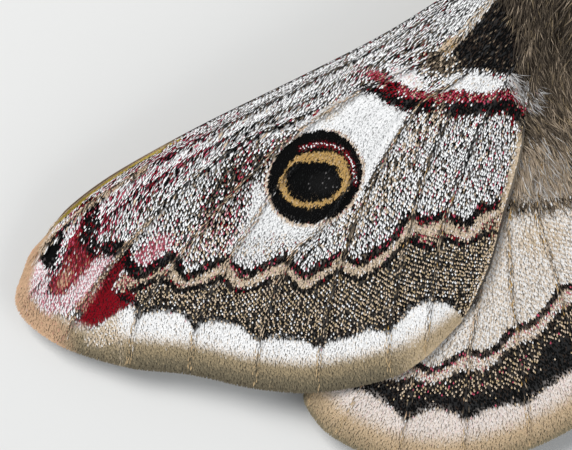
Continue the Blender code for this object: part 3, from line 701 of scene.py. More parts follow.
def mark_root(marks):
    """A dark field, a pale ridge along the stem of the veins, and streaks beside it."""
    lay, stripe, field, oval = marks.lay, marks.stripe, marks.field, marks.oval
    x, y = marks.x, marks.y
    lay(smooth_step((x - 470) / 60) * smooth_step((80 - y) / 20), soot=0.6, taupe=0.2, black=0.2)
    lay(field(BASAL_FIELD, 14), 0.0, soot=0.22, black=0.75, taupe=0.03)
    lay(oval(*ROOT_SHADE, 14), cream=0.08, taupe=0.3, black=0.4, soot=0.22)
    lay(oval(*ROOT_LIGHT, 9), white=0.42, grey=0.16, black=0.42)
    lay(stripe(ROOT_RIDGE, 2.6, 2), cream=0.6, white=0.32, taupe=0.08)
    lay(oval(*ROOT_SPOT, 4), cream=0.56, ochre=0.14, taupe=0.18, black=0.12)
    lay(0.6 * oval(*ROOT_BLUSH, 10), crimson=0.16, white=0.2, taupe=0.14, black=0.5)


def mark_red_line(marks):
    """The red line across the root, with a black one behind it and white on the root's side."""
    lay, stripe, oval = marks.lay, marks.stripe, marks.oval
    lay(oval(*FRONT_WHITE_EDGE, 6), 0.3, white=0.82, cream=0.1, pink=0.08)
    lay(oval(*REAR_WHITE_EDGE, 6), 0.3, white=0.86, grey=0.1, cream=0.04)
    redness = smooth_step((marks.x - 345) / 35)
    lay(redness * stripe(RED_LINE_CORE, 12, 8), crimson=0.16, black=0.5, white=0.22, taupe=0.12)
    red = redness * stripe(RED_LINE, 5.5, 8)
    lay(red, 0.0, 0.3, 0.8, crimson=0.36, rose=0.22, black=0.28, taupe=0.08, cream=0.06)
    core = redness * stripe(RED_LINE_CORE, 6.5, 6)
    lay(core, 0.0, 1.6, 0.9, black=0.82, soot=0.12, crimson=0.06)
    lay(oval(*RED_LINE_KNOT, 3), 0.0, 1.9, 0.8, crimson=0.35, black=0.65)
    veins = smooth_step((9 - np.abs(marks.x - 440)) / 8) * stripe(RED_LINE_CORE, 12, 6)
    lay(0.6 * veins, 0.0, 0.6, black=0.42, taupe=0.26, cream=0.12, soot=0.16, crimson=0.04)


def mark_white_field(marks):
    """The white round the eyespot, with a brown vein through it."""
    lay, stripe, field, oval = marks.lay, marks.stripe, marks.field, marks.oval
    lay(0.62 * stripe(BROWN_VEIN, 10, 16), 0.0, 0.2, black=0.46, cream=0.2, taupe=0.22, white=0.12)
    lay(field(WHITE_BEFORE_EYE, 8), 0.5, 0.8, 0.9, white=0.93, grey=0.04, black=0.03)
    lay(field(WHITE_BEHIND_EYE, 22), 0.5, 0.6, 0.9, white=0.93, grey=0.02, black=0.05)
    speckled = 0.6 * oval(*SPECKLED_PATCH, 10)
    lay(speckled, 0.1, 0.4, 0.8, white=0.46, black=0.36, cream=0.12, crimson=0.06)
    lay(0.6 * oval(*OLIVE_TINGE, 8), 0.2, 0.3, cream=0.42, olive=0.38, white=0.2)


def mark_eyespot(marks):
    """Black, with a crimson and white crescent, an ochre ring and a black pupil with a faint painted glint.
    """
    lay, stripe, field, oval = marks.lay, marks.stripe, marks.field, marks.oval
    x, y = marks.x, marks.y
    rim = smooth_step((np.abs(x - 318) + np.abs(y - 150) * 0.2 - 8) / 14) * oval(*EYE_RIM, 2)
    lay(rim, 0.3, 0.4, cream=0.66, white=0.2, crimson=0.14)
    lay(oval(*EYE_BLACK, 1), 0.5, 1.9, 0.8, black=1.0)
    lay(stripe(EYE_CRESCENT, 2.8, 4), 0.0, 1.9, 0.7, crimson=0.42, black=0.58)
    lay(stripe(EYE_CRESCENT, 0.9, 0.9), 0.0, 2.0, 0.6, white=0.68, crimson=0.32)
    lay(field(EYE_RING, 1.2), 0.6, 1.9, 0.8, ochre=0.84, cream=0.12, taupe=0.04)
    lay(field(EYE_PUPIL, 1.2), 0.6, 1.9, 0.8, black=1.0)
    # A faint painted glint on the pupil
    lay(0.03 * oval(*EYE_GLINT, 8), 0.0, 1.9, 0.5, grey=1.0)


def mark_bands(marks, beyond):
    """Two dark zigzag lines with a cream one between, and the dark speckled band."""
    lay, stripe, under = marks.lay, marks.stripe, marks.under
    band = beyond * under(SECOND_DARK_LINE, 3) * (1 - under(BAND_EDGE, 2))
    lay(band, *BAND_SCALES, black=0.54, soot=0.18, white=0.05, cream=0.15, buff=0.08)
    near_edge = smooth_step((11 - marks.from_line(BAND_EDGE)) / 7)
    lay(0.7 * band * near_edge, *BAND_SCALES, black=0.76, soot=0.2, cream=0.04)
    zigzag = under(FIRST_DARK_LINE, 3) * (1 - under(SECOND_DARK_LINE, 3))
    lay(beyond * zigzag, 0.0, 0.4, 0.8, crimson=0.1, rose=0.04, black=0.46, taupe=0.2, cream=0.2)
    cream = beyond * stripe(CREAM_ZIGZAG, 4.3, 3)
    lay(cream, 0.3, 0.3, 0.8, cream=0.64, white=0.1, buff=0.1, black=0.12, pink=0.04)
    lay(beyond * stripe(SECOND_DARK_LINE, 2.6, 3), 0.0, 1.5, black=0.8, soot=0.18, crimson=0.02)


def mark_tip(marks):
    """The dark red tip, its pink hook, the crimson patches and the pink lens."""
    lay, stripe, field, oval = marks.lay, marks.stripe, marks.field, marks.oval
    lay(field(TIP_FIELD, 7), 0.3, 0.6, 0.9, crimson=0.58, rose=0.12, black=0.24, tan=0.04, white=0.02)
    lay(oval(*TIP_TAN, 7), 0.3, 0.5, tan=0.36, crimson=0.34, rose=0.2, taupe=0.1)
    lay(stripe(TIP_VEIN[1:4], 9, 5), 0.3, 0.6, 0.9, rose=0.3, crimson=0.3, tan=0.28, taupe=0.12)
    lay(stripe(TIP_HOOK, 7.5, 7), 0.4, 0.8, 0.9, **HOOK_MIXTURE)
    lay(field(CRIMSON_PATCH, 5), 0.5, 1.4, 0.8, crimson=0.8, black=0.2)
    lay(0.8 * oval(*CRIMSON_SHADE, 8), 0.2, 1.6, 0.8, crimson=0.36, black=0.6, rose=0.04)
    notch = 0.9 * oval(*CRIMSON_NOTCH, 4)
    lay(notch, 0.2, 0.8, 0.8, cream=0.34, rose=0.18, crimson=0.26, black=0.22)
    lens = field(PINK_LENS, 8)
    lay(lens, 0.2, 0.8, 0.9, white=0.24, rose=0.36, crimson=0.22, black=0.16, pink=0.02)


def mark_border(marks, beyond, to_margin):
    """The pale border, and the part of the pink hook that lies on it."""
    lay, stripe, field, under = marks.lay, marks.stripe, marks.field, marks.under
    x = marks.x
    outside = beyond * under(BAND_EDGE, 2)
    tip_border = smooth_step((36 - to_margin) / 20) * smooth_step((128 - x) / 12)
    pale_corner = field(PALE_CORNER, 4)
    tan = smooth_step((84 - x) / 34)
    white = np.maximum(np.maximum(outside, pale_corner), tip_border)
    olive = smooth_step((430 - x) / 60) * (0.7 + 0.3 * smooth_step((x - 100) / 60))
    marginal(marks, to_margin, white, olive, tan)
    creamy = 0.75 * pale_corner * smooth_step((128 - x) / 16)
    lay(creamy, 0.3, 0.8, 0.8, cream=0.5, buff=0.26, white=0.2, taupe=0.04)
    hook = stripe(TIP_HOOK[:4], 7, 9) * smooth_step((to_margin - 12) / 14)
    lay(hook, 0.3, 0.8, 0.9, **HOOK_MIXTURE)


def mark_dark_lines(marks, beyond):
    """The dark lines and veins that lie over the rest, and the tip's black lens."""
    lay, stripe, field, oval = marks.lay, marks.stripe, marks.field, marks.oval
    broad = 4.2 + 1.6 * smooth_step((190 - marks.x) / 30)
    dark = beyond * stripe(FIRST_DARK_LINE, broad, 5)
    lay(dark, 0.0, 1.7, black=0.78, soot=0.16, crimson=0.04, rose=0.02)
    lay(0.8 * stripe(TIP_CRIMSON, 4, 5), 0.0, 1.6, 0.8, crimson=0.5, black=0.32, rose=0.18)
    lay(0.95 * stripe(TIP_BAR, 8.5, 8), 0.0, 1.9, 0.8, black=0.86, crimson=0.1, white=0.04)
    lay(0.95 * stripe(TIP_HOOK_BAR, 6.5, 5), 0.0, 2.0, 0.8, black=0.94, crimson=0.06)
    lay(0.9 * oval(*CRIMSON_CORNER, 5), 0.0, 1.8, 0.8, black=0.78, crimson=0.22)
    lay(0.9 * stripe(TIP_VEIN, 0.8, 1.6), 0.2, 2.0, 0.7, tan=0.4, cream=0.3, taupe=0.3)
    lay(field(BESIDE_LENS, 4), 0.0, 1.0, 0.8, white=0.28, black=0.6, rose=0.12)
    lay(field(TIP_LENS, 4), 0.0, 2.0, 0.9, black=1.0)


def mark_edges(marks, p):
    """The inner edge's fringe, fading to painted shade towards the rear, and the front edge near the tip."""
    lay, stripe = marks.lay, marks.stripe
    x, y = marks.x, marks.y
    inner_fringe = smooth_step((p - forewing.gaps + 0.2) / 0.12) * smooth_step((y - 120) / 20)
    # Towards the rear the fringe fades, leaving painted shade along the lower inner edge
    inner_fringe = inner_fringe * (1 - 0.75 * smooth_step((y - 185) / 40))
    lay(inner_fringe, 0.3, 0.8, cream=0.4, buff=0.22, taupe=0.3, white=0.08)
    near_tip = smooth_step((190 - x) / 40)
    dusky, yellow, rim = (near_tip * smooth_step((end - p) / fade) for end, fade in FRONT_EDGE_BANDS)
    lay(dusky, 0.2, 0.8, 0.7, black=0.5, cream=0.15, taupe=0.25, yellow=0.1)
    lay(yellow, 0.5, 1.2, 0.7, yellow=0.72, ochre=0.2, olive=0.08)
    lay(rim, 0.6, 1.6, 0.7, cream=0.6, tan=0.3, olive=0.1)
    lay(near_tip * stripe(FRONT_VEIN, 1.0, 1.4), 0.3, 2.0, 0.7, cream=0.66, tan=0.24, taupe=0.1)


def forewing_marks(px, p, q):
    """The forewing's mosaic: the dark ground first, then the pattern's zones from the root
    outwards, and the lines and veins that lie over them last."""
    marks = Mosaic(px, mixture(**FOREWING_GROUND))
    to_margin = forewing.margin(p, q)
    beyond = smooth_step((marks.x - BANDS_START_PX) / 10)
    mark_ground(marks, p)
    mark_root(marks)
    mark_red_line(marks)
    mark_white_field(marks)
    mark_eyespot(marks)
    mark_bands(marks, beyond)
    mark_tip(marks)
    mark_border(marks, beyond, to_margin)
    mark_dark_lines(marks, beyond)
    mark_edges(marks, p)
    return marks


# Hindwing markings, in pixels
HIND_INNER_LINE = [
    (340, 352), (380, 356), (400, 352), (418, 362), (429, 369), (444, 364), (459, 353), (470, 349),
    (483, 353), (498, 345), (511, 328), (518, 325), (532, 322), (543, 311), (553, 297), (560, 285),
    (572, 284), (590, 276), (604, 262),
]
HIND_OUTER_LINE = [
    (340, 372), (377, 381), (399, 381), (414, 377), (421, 382), (433, 384), (446, 381), (459, 371),
    (485, 371), (501, 360), (505, 351), (518, 345), (537, 338), (548, 327), (559, 312), (572, 304),
    (594, 298), (612, 280),
]
HIND_BAND_EDGE = [
    (340, 384), (362, 388), (369, 392), (379, 397), (390, 405), (399, 412), (405, 421), (425, 410),
    (440, 408), (455, 412), (466, 420), (485, 410), (503, 405), (528, 403), (541, 392), (556, 381),
    (572, 371), (590, 366), (606, 350), (620, 330),
]
HIND_ROOT_LINE = [(500, 202), (520, 206), (545, 203), (572, 196), (590, 188)]
HIND_WARM_PATCH = (542, 236), (22, 16), 0
HIND_EYE = (448, 250), (31, 27), 20
HIND_EYE_RING = (448, 252), (22, 18), 20
HIND_EYE_PUPIL = (448, 253), (16, 11), 20


def hindwing_marks(px, p, q):
    """The hindwing's mosaic: a pale field, dark wavy lines, a speckled band and a pale border."""
    to_margin = hindwing.margin(p, q)
    marks = Mosaic(px, mixture(white=0.44, cream=0.38, taupe=0.18))
    lay, stripe, oval, under = marks.lay, marks.stripe, marks.oval, marks.under
    marks.velvet[:] = 0.45
    lay(smooth_step((205 - marks.y) / 40), 0.3, taupe=0.5, soot=0.16, cream=0.2, grey=0.14)
    lay(0.85 * stripe(HIND_ROOT_LINE, 5, 6), soot=0.6, black=0.2, taupe=0.2)
    lay(0.6 * oval(*HIND_WARM_PATCH, 16), 0.3, cream=0.5, buff=0.2, taupe=0.2, white=0.1)
    lay(oval(*HIND_EYE, 2), black=1.0)
    lay(oval(*HIND_EYE_RING, 2), ochre=0.8, cream=0.12, taupe=0.08)
    lay(oval(*HIND_EYE_PUPIL, 2), black=0.98, grey=0.02)

    # The speckled band, darkest near its edge, and the pale band between two wavy lines
    in_band = under(HIND_OUTER_LINE, 4) * (1 - under(HIND_BAND_EDGE, 4))
    lay(in_band, *BAND_SCALES, black=0.56, soot=0.22, cream=0.12, buff=0.08, rose=0.02)
    reach = 22 + 20 * smooth_step((marks.x - 515) / 45)
    near_edge = smooth_step((reach - marks.from_line(HIND_BAND_EDGE)) / 12)
    lay(0.97 * in_band * near_edge, *BAND_SCALES, black=0.84, soot=0.16)
    between = under(HIND_INNER_LINE, 4) * (1 - under(HIND_OUTER_LINE, 4))
    lay(between, 0.4, 0.4, 0.8, cream=0.5, white=0.3, taupe=0.14, rose=0.06)
    below_line = [(place, row + 5) for place, row in HIND_INNER_LINE]
    lay(0.5 * stripe(below_line, 2, 2), 0.0, 1.2, 0.8, crimson=0.2, rose=0.3, cream=0.5)
    inner = stripe(HIND_INNER_LINE, 3.8, 3)
    lay(inner, 0.0, 1.7, 0.8, soot=0.3, black=0.62, rose=0.03, taupe=0.05)
    lay(0.95 * stripe(HIND_OUTER_LINE, 3, 4), 0.0, 1.4, 0.8, soot=0.42, black=0.5, taupe=0.08)

    # The pale border
    outside = under(HIND_BAND_EDGE, 3)
    lay(outside, 0.8, white=0.46, cream=0.44, pink=0.1)
    lay(outside * smooth_step((44 - to_margin) / 22), 0.8, cream=0.2, buff=0.6, tan=0.2)
    lay(outside * smooth_step((24 - to_margin) / 16), 0.8, buff=0.4, tan=0.14, olive=0.46)
    lay(outside * smooth_step((9 - to_margin) / 8), 0.8, buff=0.1, olive=0.9)
    return marks


def mesh_object(name, points, faces, look, mirrored=False, smooth=True):
    """A mesh object from arrays of points and of faces with equally many corners."""
    points = np.array(points, float).reshape(-1, 3)
    if mirrored:
        points[:, 0] *= -1
        faces = faces[:, ::-1]
    mesh = bpy.data.meshes.new(name)
    mesh.vertices.add(len(points))
    mesh.vertices.foreach_set("co", points.astype(np.float32).ravel())
    corners = faces.shape[1]
    mesh.loops.add(faces.size)
    mesh.loops.foreach_set("vertex_index", faces.astype(np.int32).ravel())
    mesh.polygons.add(len(faces))
    mesh.polygons.foreach_set("loop_start", np.arange(0, faces.size, corners, dtype=np.int32))
    mesh.materials.append(look.material)
    mesh.update(calc_edges=True)
    if smooth:
        mesh.shade_smooth()
    else:
        mesh.shade_flat()
    obj = bpy.data.objects.new(name, mesh)
    bpy.context.scene.collection.objects.link(obj)
    return obj


def paint(obj, colours):
    """Stores a colour for each point of the mesh, from 0 to 1 in each channel."""
    painted = obj.data.color_attributes.new("Colour", "FLOAT_COLOR", "POINT")
    rgba = np.ones((len(obj.data.vertices), 4), np.float32)
    rgba[:, :3] = colours
    painted.data.foreach_set("color", rgba.ravel())


def unwrap(obj, places):
    """Stores the OFBake map from one place in the unit square for each point."""
    corners = np.empty(len(obj.data.loops), np.int32)
    obj.data.loops.foreach_get("vertex_index", corners)
    layer = obj.data.uv_layers.new(name="OFBake")
    layer.data.foreach_set("uv", np.asarray(places, np.float32)[corners].ravel())


def fit(obj, slot, *nodes):
    """Fixes a finished piece to the frame, in the place of its nodes."""
    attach(obj, "root")
    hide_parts(*nodes)


# A scale: its narrow root, the two corners of its widest place and its tip, as shares of its length
# along, of its width across and of its lift up, with a keel from root to tip
LEAF = np.array([(0, 0, 0), (0.64, 0.5, 0.7), (0.64, -0.5, 0.7), (1, 0, 1)])
LEAF_FACES = np.array([(0, 2, 3), (0, 3, 1), (3, 2, 1), (0, 1, 2)])
LEAF_RIDGE = np.array([0.1, -0.05, -0.05, 0.05])
# Painted shade darkens each scale towards its root, and painted light brightens its tip
LEAF_PAINTED_SHADING = np.array([0.7, 1.0, 1.0, 1.1])
PATCH = 0.003


def leaves(root, along, up, length, width, lift):
    """Points of many leaves: each is a few shares of its length along, its width across and its
    lift up, with a ridge in the middle as high as a share of its width."""
    across = np.cross(up, along)
    length, width, lift = (size[:, None, None] for size in (length, width, lift))
    a, b, c = (LEAF[:, k][None, :, None] for k in range(3))
    rise = lift * c + width * LEAF_RIDGE[None, :, None]
    return root[:, None] + along[:, None] * length * a + across[:, None] * width * b + up[:, None] * rise


def numbered(faces, count, size):
    """The faces of one small shape, repeated for count shapes of size points each."""
    return (faces[None] + np.arange(count)[:, None, None] * size).reshape(-1, faces.shape[1])


def patches(places, shape):
    """Places on the unwrap for the points of each small shape: a patch at its root's place."""
    spread = 0.01 + 0.98 * np.asarray(places)[:, None]
    return (spread + PATCH * (shape[:, [1, 0]] - (0, 0.5))[None]).reshape(-1, 2)


CHANCE_STEP = 0.7549
CHANCE_STEP_OF_ROWS = 0.5698


def even_rows(wing, row_px, leaf_area_px, random):
    """Roots in rows across a wing, and a chance from 0 to 1 for each. Along each row the roots are
    counted by the area that each has to itself, so that they stay even where the wing narrows. The
    chances step on by shares without a common measure, so that like colours lie spread out."""
    rows = int(wing.length[:, -1].max() / row_px)
    p_line = np.linspace(0, wing.gaps, wing.gaps * 12 + 1)
    p_all, q_all, chances = [], [], []
    for row in range(rows):
        q_line = np.full(len(p_line), (row + 0.5) / rows)
        line = wing.px(p_line, q_line)
        step = np.linalg.norm(np.diff(line, axis=0), axis=1)
        depth = wing.whole(p_line)[1:] / rows
        count = np.concatenate([[0], np.cumsum(step * depth / leaf_area_px)])
        at = np.arange(random.random(), count[-1], 1.0)
        p_all.append(np.interp(at, count, p_line))
        q_all.append(np.full(len(at), q_line[0]))
        chances.append(np.arange(len(at)) * CHANCE_STEP + row * CHANCE_STEP_OF_ROWS)
    p, q = np.concatenate(p_all), np.concatenate(q_all)
    q = np.clip(q + random.normal(0, 0.18 / rows, len(q)), 0, 1)
    chance = np.mod(np.concatenate(chances) + random.uniform(0, 0.2, len(p)), 1.0)
    return np.clip(p + random.normal(0, 0.008, len(p)), 0, wing.gaps), q, chance


LANES_PER_GAP = 26
STREAKS_PER_LANE = 34


def streaked(p, q, chance, share, random):
    """The chances again, but a share of them is common to the scales of one narrow streak along
    the wing, which makes fine streaks of one colour. Each lane of streaks starts a little apart."""
    lanes = random.random((2000, 64))
    lane = (p * LANES_PER_GAP).astype(int)
    place = (q * STREAKS_PER_LANE + lanes[lane, 0] + 8).astype(int)
    common = lanes[lane, 1 + place % 60]
    return np.where(random.random(len(p)) < share, common, chance)


scale_look = grained("wing_scales", 0.75, 0.03, 9000, 3, (0.82, 0.36), 0.02 * MM, 0.4, (0.62, 0.2))
film_look = grained("wing_film", 0.5, 0.4, 3000, 3, (0.6, 0.4), 0.02 * MM, 0.5, (0.4, 0.25))


def leaf_mesh(name, wing, p, q, colours, points, mirrored):
    """A mesh of leaves in their own colours, with painted shade at the root and painted light at the
    tip, and with their places on the map.
    """
    count, size = len(p), len(LEAF)
    made = mesh_object(name, points, numbered(LEAF_FACES, count, size), scale_look, mirrored, False)
    # The colours carry the painted shade at each root and the painted light at each tip
    paint(made, np.repeat(colours, size, axis=0) * np.tile(LEAF_PAINTED_SHADING, count)[:, None])
    unwrap(made, patches(np.stack([p / wing.gaps, q], axis=-1), LEAF))
    return made


def make_film(name, wing, marks_of, mirrored):
    """The membrane: a grid over the loft, laid twice, a thickness apart, and closed at its rim."""
    steps = [gap + step for gap in range(wing.gaps) for step in FILM_STEPS] + [wing.gaps]
    columns = np.linspace(0, 1, STATIONS // 2)
    p, q = (grid.ravel() for grid in np.meshgrid(steps, columns, indexing="ij"))
    middle = wing.points(p, q)
    wide, deep = len(columns), len(steps)
    index = np.arange(len(p)).reshape(deep, wide)
    a, b, c, d = index[:-1, :-1], index[:-1, 1:], index[1:, 1:], index[1:, :-1]
    top = np.stack([a, d, c, b], axis=-1).reshape(-1, 4)
    rim = np.concatenate([index[0, :-1], index[:-1, -1], index[-1, :0:-1], index[:0:-1, 0]])
    following = np.roll(rim, -1)
    under = len(p)
    wall = np.stack([rim, following, following + under, rim + under], axis=-1)
    faces = np.concatenate([top, top[:, ::-1] + under, wall])
    half = UPWARDS * FILM_HALF_THICKNESS
    points = np.concatenate([middle + half, middle - half])
    film = mesh_object(name, points, faces, film_look, mirrored)
    colours = marks_of(wing.px(p, q), p, q).ground()
    paint(film, np.concatenate([colours, 0.5 * colours + 0.12]))
    places = np.stack([p / wing.gaps, q], axis=-1) * (0.48, 0.98)
    unwrap(film, np.concatenate([places, places + (0.5, 0)]))
    return film


# The share of a wing's lines that is its front half, the line where the scales of the underside
# start, and the mixture to which those are washed out
FRONT_HALF = 0.46
UNDERSIDE_START = 0.35
WASHED_OUT = {"white": 0.5, "cream": 0.2, "grey": 0.2, "taupe": 0.1}
# Below this brightness a scale is dark, and only this share of the dark ones is kept
DARK_SCALE = 0.05
DARK_SCALES_KEPT = 0.6
# The size of a scale that has this area to itself, by how much a hair-like one is longer and
# narrower, and how far a scale may pass the margin
SCALE_AREA_PX = 2.1
SCALE_LENGTH_PX = 3.9
SCALE_WIDTH_PX = 1.6
HAIRLIKE_LONGER_PX = 1.9
HAIRLIKE_NARROWER_PX = 0.5
PAST_MARGIN_PX = 1.8


def make_scales(name, wing, marks_of, face, row_px, area_px, pale, half, mirrored, random):
    """Scales on one face of a wing: 1 is the upper face, -1 the lower. half keeps the front or the
    rear half of the wing, and pale is how far the colours are washed out. Some dark scales are left
    out, because the film below is as dark."""
    p, q, chance = even_rows(wing, row_px, area_px, random)
    front = p < wing.gaps * FRONT_HALF
    kept = {"front": front, "rear": ~front, "all": p >= 0}[half]
    kept &= (p > UNDERSIDE_START) | (face > 0)
    p, q, chance = p[kept], q[kept], chance[kept]
    p = np.clip(p, 0.03, wing.gaps - 0.03)
    hairlike = wing.hairlike(p, q)
    marks = marks_of(wing.px(p, q) + random.normal(0, 0.7, (len(p), 2)), p, q)
    marks.shares = marks.shares * (1 - pale) + mixture(**WASHED_OUT) * pale
    colours = marks.drawn(streaked(p, q, chance, 0.02 + 0.1 * hairlike, random))
    bright = colours.mean(axis=-1) > DARK_SCALE
    kept = bright | (random.random(len(p)) < DARK_SCALES_KEPT + marks.velvet)
    parts = p, q, hairlike, colours, marks.on_top(colours), marks.size, marks.velvet
    p, q, hairlike, colours, on_top, size, velvet = (values[kept] for values in parts)

    # Sizes: shorter at the front edge, and moved in where a scale would pass the margin
    fuller = math.sqrt(area_px / SCALE_AREA_PX)
    length = (SCALE_LENGTH_PX + HAIRLIKE_LONGER_PX * hairlike) * (0.6 + 0.4 * smooth_step(p / 0.6))
    length = length * fuller * size * random.uniform(0.8, 1.2, len(p))
    width = (SCALE_WIDTH_PX - HAIRLIKE_NARROWER_PX * hairlike) * fuller * random.uniform(0.85, 1.15, len(p))
    q = np.minimum(q, 1 - (length - PAST_MARGIN_PX) / np.maximum(wing.whole(p), 40))

    # Directions: slanted back inside the wing, and straight along it at its rims
    here, ahead, up = wing.frame(p, q, face)
    inside = smooth_step(p / 0.5) * smooth_step((wing.gaps - p) / 0.6) * smooth_step(wing.margin(p, q) / 12)
    turn = wing.sweep(p, q) * face * inside + random.normal(0, 0.13, len(p)) * (0.3 + 0.7 * inside)
    along = unit(ahead + np.cross(up, ahead) * np.tan(turn)[:, None])
    lift = (random.uniform(0.012, 0.035, len(p)) * (1 - 0.4 * velvet) + 0.03 * on_top) * MM
    root = here + up * (FILM_HALF_THICKNESS + (0.03 + 0.025 * on_top[:, None]) * MM)
    colours = colours * (1 + (random.uniform(-0.15, 0.12, len(p)) * (1 - 0.5 * velvet))[:, None])
    points = leaves(root, along, up, length / PX_PER_METRE, width / PX_PER_METRE, lift)
    return leaf_mesh(name, wing, p, q, colours, points, mirrored)


VEIN_HAIR_STEP_PX = 0.9
# No hairs in the eyespot's oval and in the tip's circle, fewer in the band, and pale ones on the
# border
EYE_CLEARING = (315.5, 176.5), (53, 46), 45
TIP_MIDDLE_PX = (40, 285)
TIP_RADIUS_PX = 72
VEIN_BORDER_PX = 50
VEIN_BAND_PX = 60
BORDER_VEIN_COLOUR = np.array([0.60, 0.43, 0.24])


def make_vein_hairs(name, wing, veins, face, mirrored, random):
    """Fine hair-like scales in close file along the veins. A vein is its line, the share of its
    length at which the hairs begin and their mixture of colours."""
    p_all, q_all, colours = [], [], []
    for line, start, parts in veins:
        row = wing.length[int(wing.rows(line))]
        count = int(row[-1] * (1 - start) / VEIN_HAIR_STEP_PX)
        q = start + (1 - start - 6 / row[-1]) * (np.arange(count) + random.random(count)) / count
        p_all.append(np.clip(line + random.normal(0, 0.018, count), 0.01, wing.gaps - 0.01))
        q_all.append(q)
        running = np.cumsum(mixture(**parts))
        colours.append(COLOUR_TABLE[np.searchsorted(running, random.random(count) * 0.999)])
    p, q, colours = np.concatenate(p_all), np.concatenate(q_all), np.concatenate(colours)
    to_margin = wing.margin(p, q)
    eyespot = Mosaic(wing.px(p, q), mixture(black=1)).oval(*EYE_CLEARING)
    border = smooth_step((VEIN_BORDER_PX - to_margin) / 6)
    colours = colours * (1 - border)[:, None] + BORDER_VEIN_COLOUR * border[:, None]
    in_band = (to_margin > VEIN_BORDER_PX - 6) & (to_margin < VEIN_BORDER_PX + VEIN_BAND_PX)
    beyond_tip = np.linalg.norm(wing.px(p, q) - TIP_MIDDLE_PX, axis=-1) > TIP_RADIUS_PX
    share = np.where(in_band, 0.2, 0.6 - 0.25 * border)
    kept = (eyespot < 0.5) & beyond_tip & (random.random(len(p)) < share)
    p, q, colours = p[kept], q[kept], colours[kept]
    here, ahead, up = wing.frame(p, q, face)
    along = unit(ahead + np.cross(up, ahead) * random.normal(0, 0.1, len(p))[:, None])
    root = here + up * (FILM_HALF_THICKNESS + 0.07 * MM)
    length = random.uniform(5, 8, len(p)) / PX_PER_METRE
    width = random.uniform(0.8, 1.1, len(p)) / PX_PER_METRE
    points = leaves(root, along, up, length, width, random.uniform(0.01, 0.03, len(p)) * MM)
    return leaf_mesh(name, wing, p, q, colours, points, mirrored)


TAN = {"cream": 0.4, "tan": 0.2, "taupe": 0.4}
BROWN = {"cream": 0.2, "ochre": 0.1, "taupe": 0.5, "soot": 0.2}
GOLD = {"ochre": 0.35, "cream": 0.35, "taupe": 0.3}
FOREWING_VEINS = [
    (2.0, 0.85, BROWN), (3.0, 0.75, TAN), (4.0, 0.4, TAN), (5.0, 0.6, TAN), (6.0, 0.6, TAN),
    (7.0, 0.3, BROWN), (8.0, 0.5, BROWN), (9.0, 0.6, BROWN),
]
HINDWING_VEINS = [
    (1.0, 0.35, TAN), (2.0, 0.4, TAN), (3.0, 0.4, TAN), (4.0, 0.3, TAN), (5.0, 0.3, GOLD), (6.0, 0.3, GOLD),
]
# Layers of scales: the name, the face, the step between rows, the area of one, how pale, which half
FOREWING_LAYERS = [
    ("front_scales", 1, 1.8, 2.2, 0.0, "front"),
    ("rear_scales", 1, 1.8, 2.2, 0.0, "rear"),
    ("under_scales", -1, 5.0, 14.0, 0.5, "all"),
]
HINDWING_LAYERS = [
    ("scales", 1, 1.9, 2.75, 0.0, "all"),
    ("under_scales", -1, 5.0, 14.0, 0.4, "all"),
]
WINGS = {
    "forewing": (forewing, forewing_marks, FOREWING_LAYERS, FOREWING_VEINS, "grey_wing"),
    "hindwing": (hindwing, hindwing_marks, HINDWING_LAYERS, HINDWING_VEINS, "pale_wing"),
}
SIDES = ((1, "left"), (-1, "right"))

for side, word in SIDES:
    mirrored = side < 0
    random = np.random.default_rng(20 + side)
    for kind, (wing, marks_of, layers, veins, slot) in WINGS.items():
        pieces = [make_film(f"{kind}_film_{word}", wing, marks_of, mirrored)]
        for layer, *sizes in layers:
            name = f"{kind}_{layer}_{word}"
            pieces.append(make_scales(name, wing, marks_of, *sizes, mirrored, random))
        name = f"{kind}_vein_hairs_{word}"
        pieces.append(make_vein_hairs(name, wing, veins, 1, mirrored, random))
        for piece in pieces:
            fit(piece, slot, f"{kind}_{word}")


# Body skin
# Under the hair the body is brown chitin: a boxy thorax, an abdomen of eight rings, a small sunken
# head with two palps, and six legs. The rings swept along each part melt into one closed skin.
BODY_ORIGIN = np.array([0, HINGE_LINE_Y, 0])
TURNS = 48
THORAX_MIDDLE = np.array([0, 2.3, 5.2]) * MM
THORAX_SKIN_RADII = np.array([2.95, 5.1, 2.95]) * MM
THORAX_SQUARENESS = 0.82
HEAD_MIDDLE = np.array([0, -4.15, 5.0]) * MM
HEAD_SKIN_RADII = np.array([1.42, 1.3, 1.5]) * MM
HEAD_SQUARENESS = 0.85
NECK_RADIUS = 1.15 * MM
ABDOMEN_START = np.array([0, 7.0, 4.5]) * MM
ABDOMEN_LENGTH = 14.2 * MM
ABDOMEN_SKIN_RADIUS = 3.4 * MM
ABDOMEN_RINGS = 8
ABDOMEN_FLATNESS = 0.9
ABDOMEN_SLOPE = math.radians(10.0)
RING_FOLD = 0.12 * MM
PALP_ROOT = HEAD_MIDDLE + np.array([0.35, -0.7, -0.9]) * MM
PALP_AHEAD = np.array([0.12, -0.9, -0.42])
PALP_LENGTH = 1.4 * MM
PALP_RADIUS = 0.26 * MM
LEG_JOINTS = {
    "foreleg": [
        (1.2, -1.3, 1.6), (2.1, -2.7, 1.45), (3.7, -4.3, 3.2), (5.0, -5.4, 1.7),
        (5.6, -5.9, 0.45), (6.3, -6.6, 0.2), (7.4, -7.7, 0.18),
    ],
    "midleg": [
        (1.5, 1.3, 1.6), (2.7, 1.1, 1.5), (5.1, 0.8, 3.4), (6.8, 1.4, 1.7),
        (7.4, 1.7, 0.45), (8.2, 2.0, 0.2), (9.8, 2.7, 0.18),
    ],
    "hindleg": [
        (1.4, 4.1, 1.6), (2.7, 4.9, 1.5), (5.3, 7.0, 3.0), (6.7, 9.4, 1.4),
        (7.1, 10.1, 0.45), (7.6, 11.0, 0.2), (8.4, 12.9, 0.18),
    ],
}
LEG_SKIN_RADII = (0.4, 0.45, 0.34, 0.28, 0.19, 0.17, 0.13)
SKIN_VOXEL_MM = 0.16


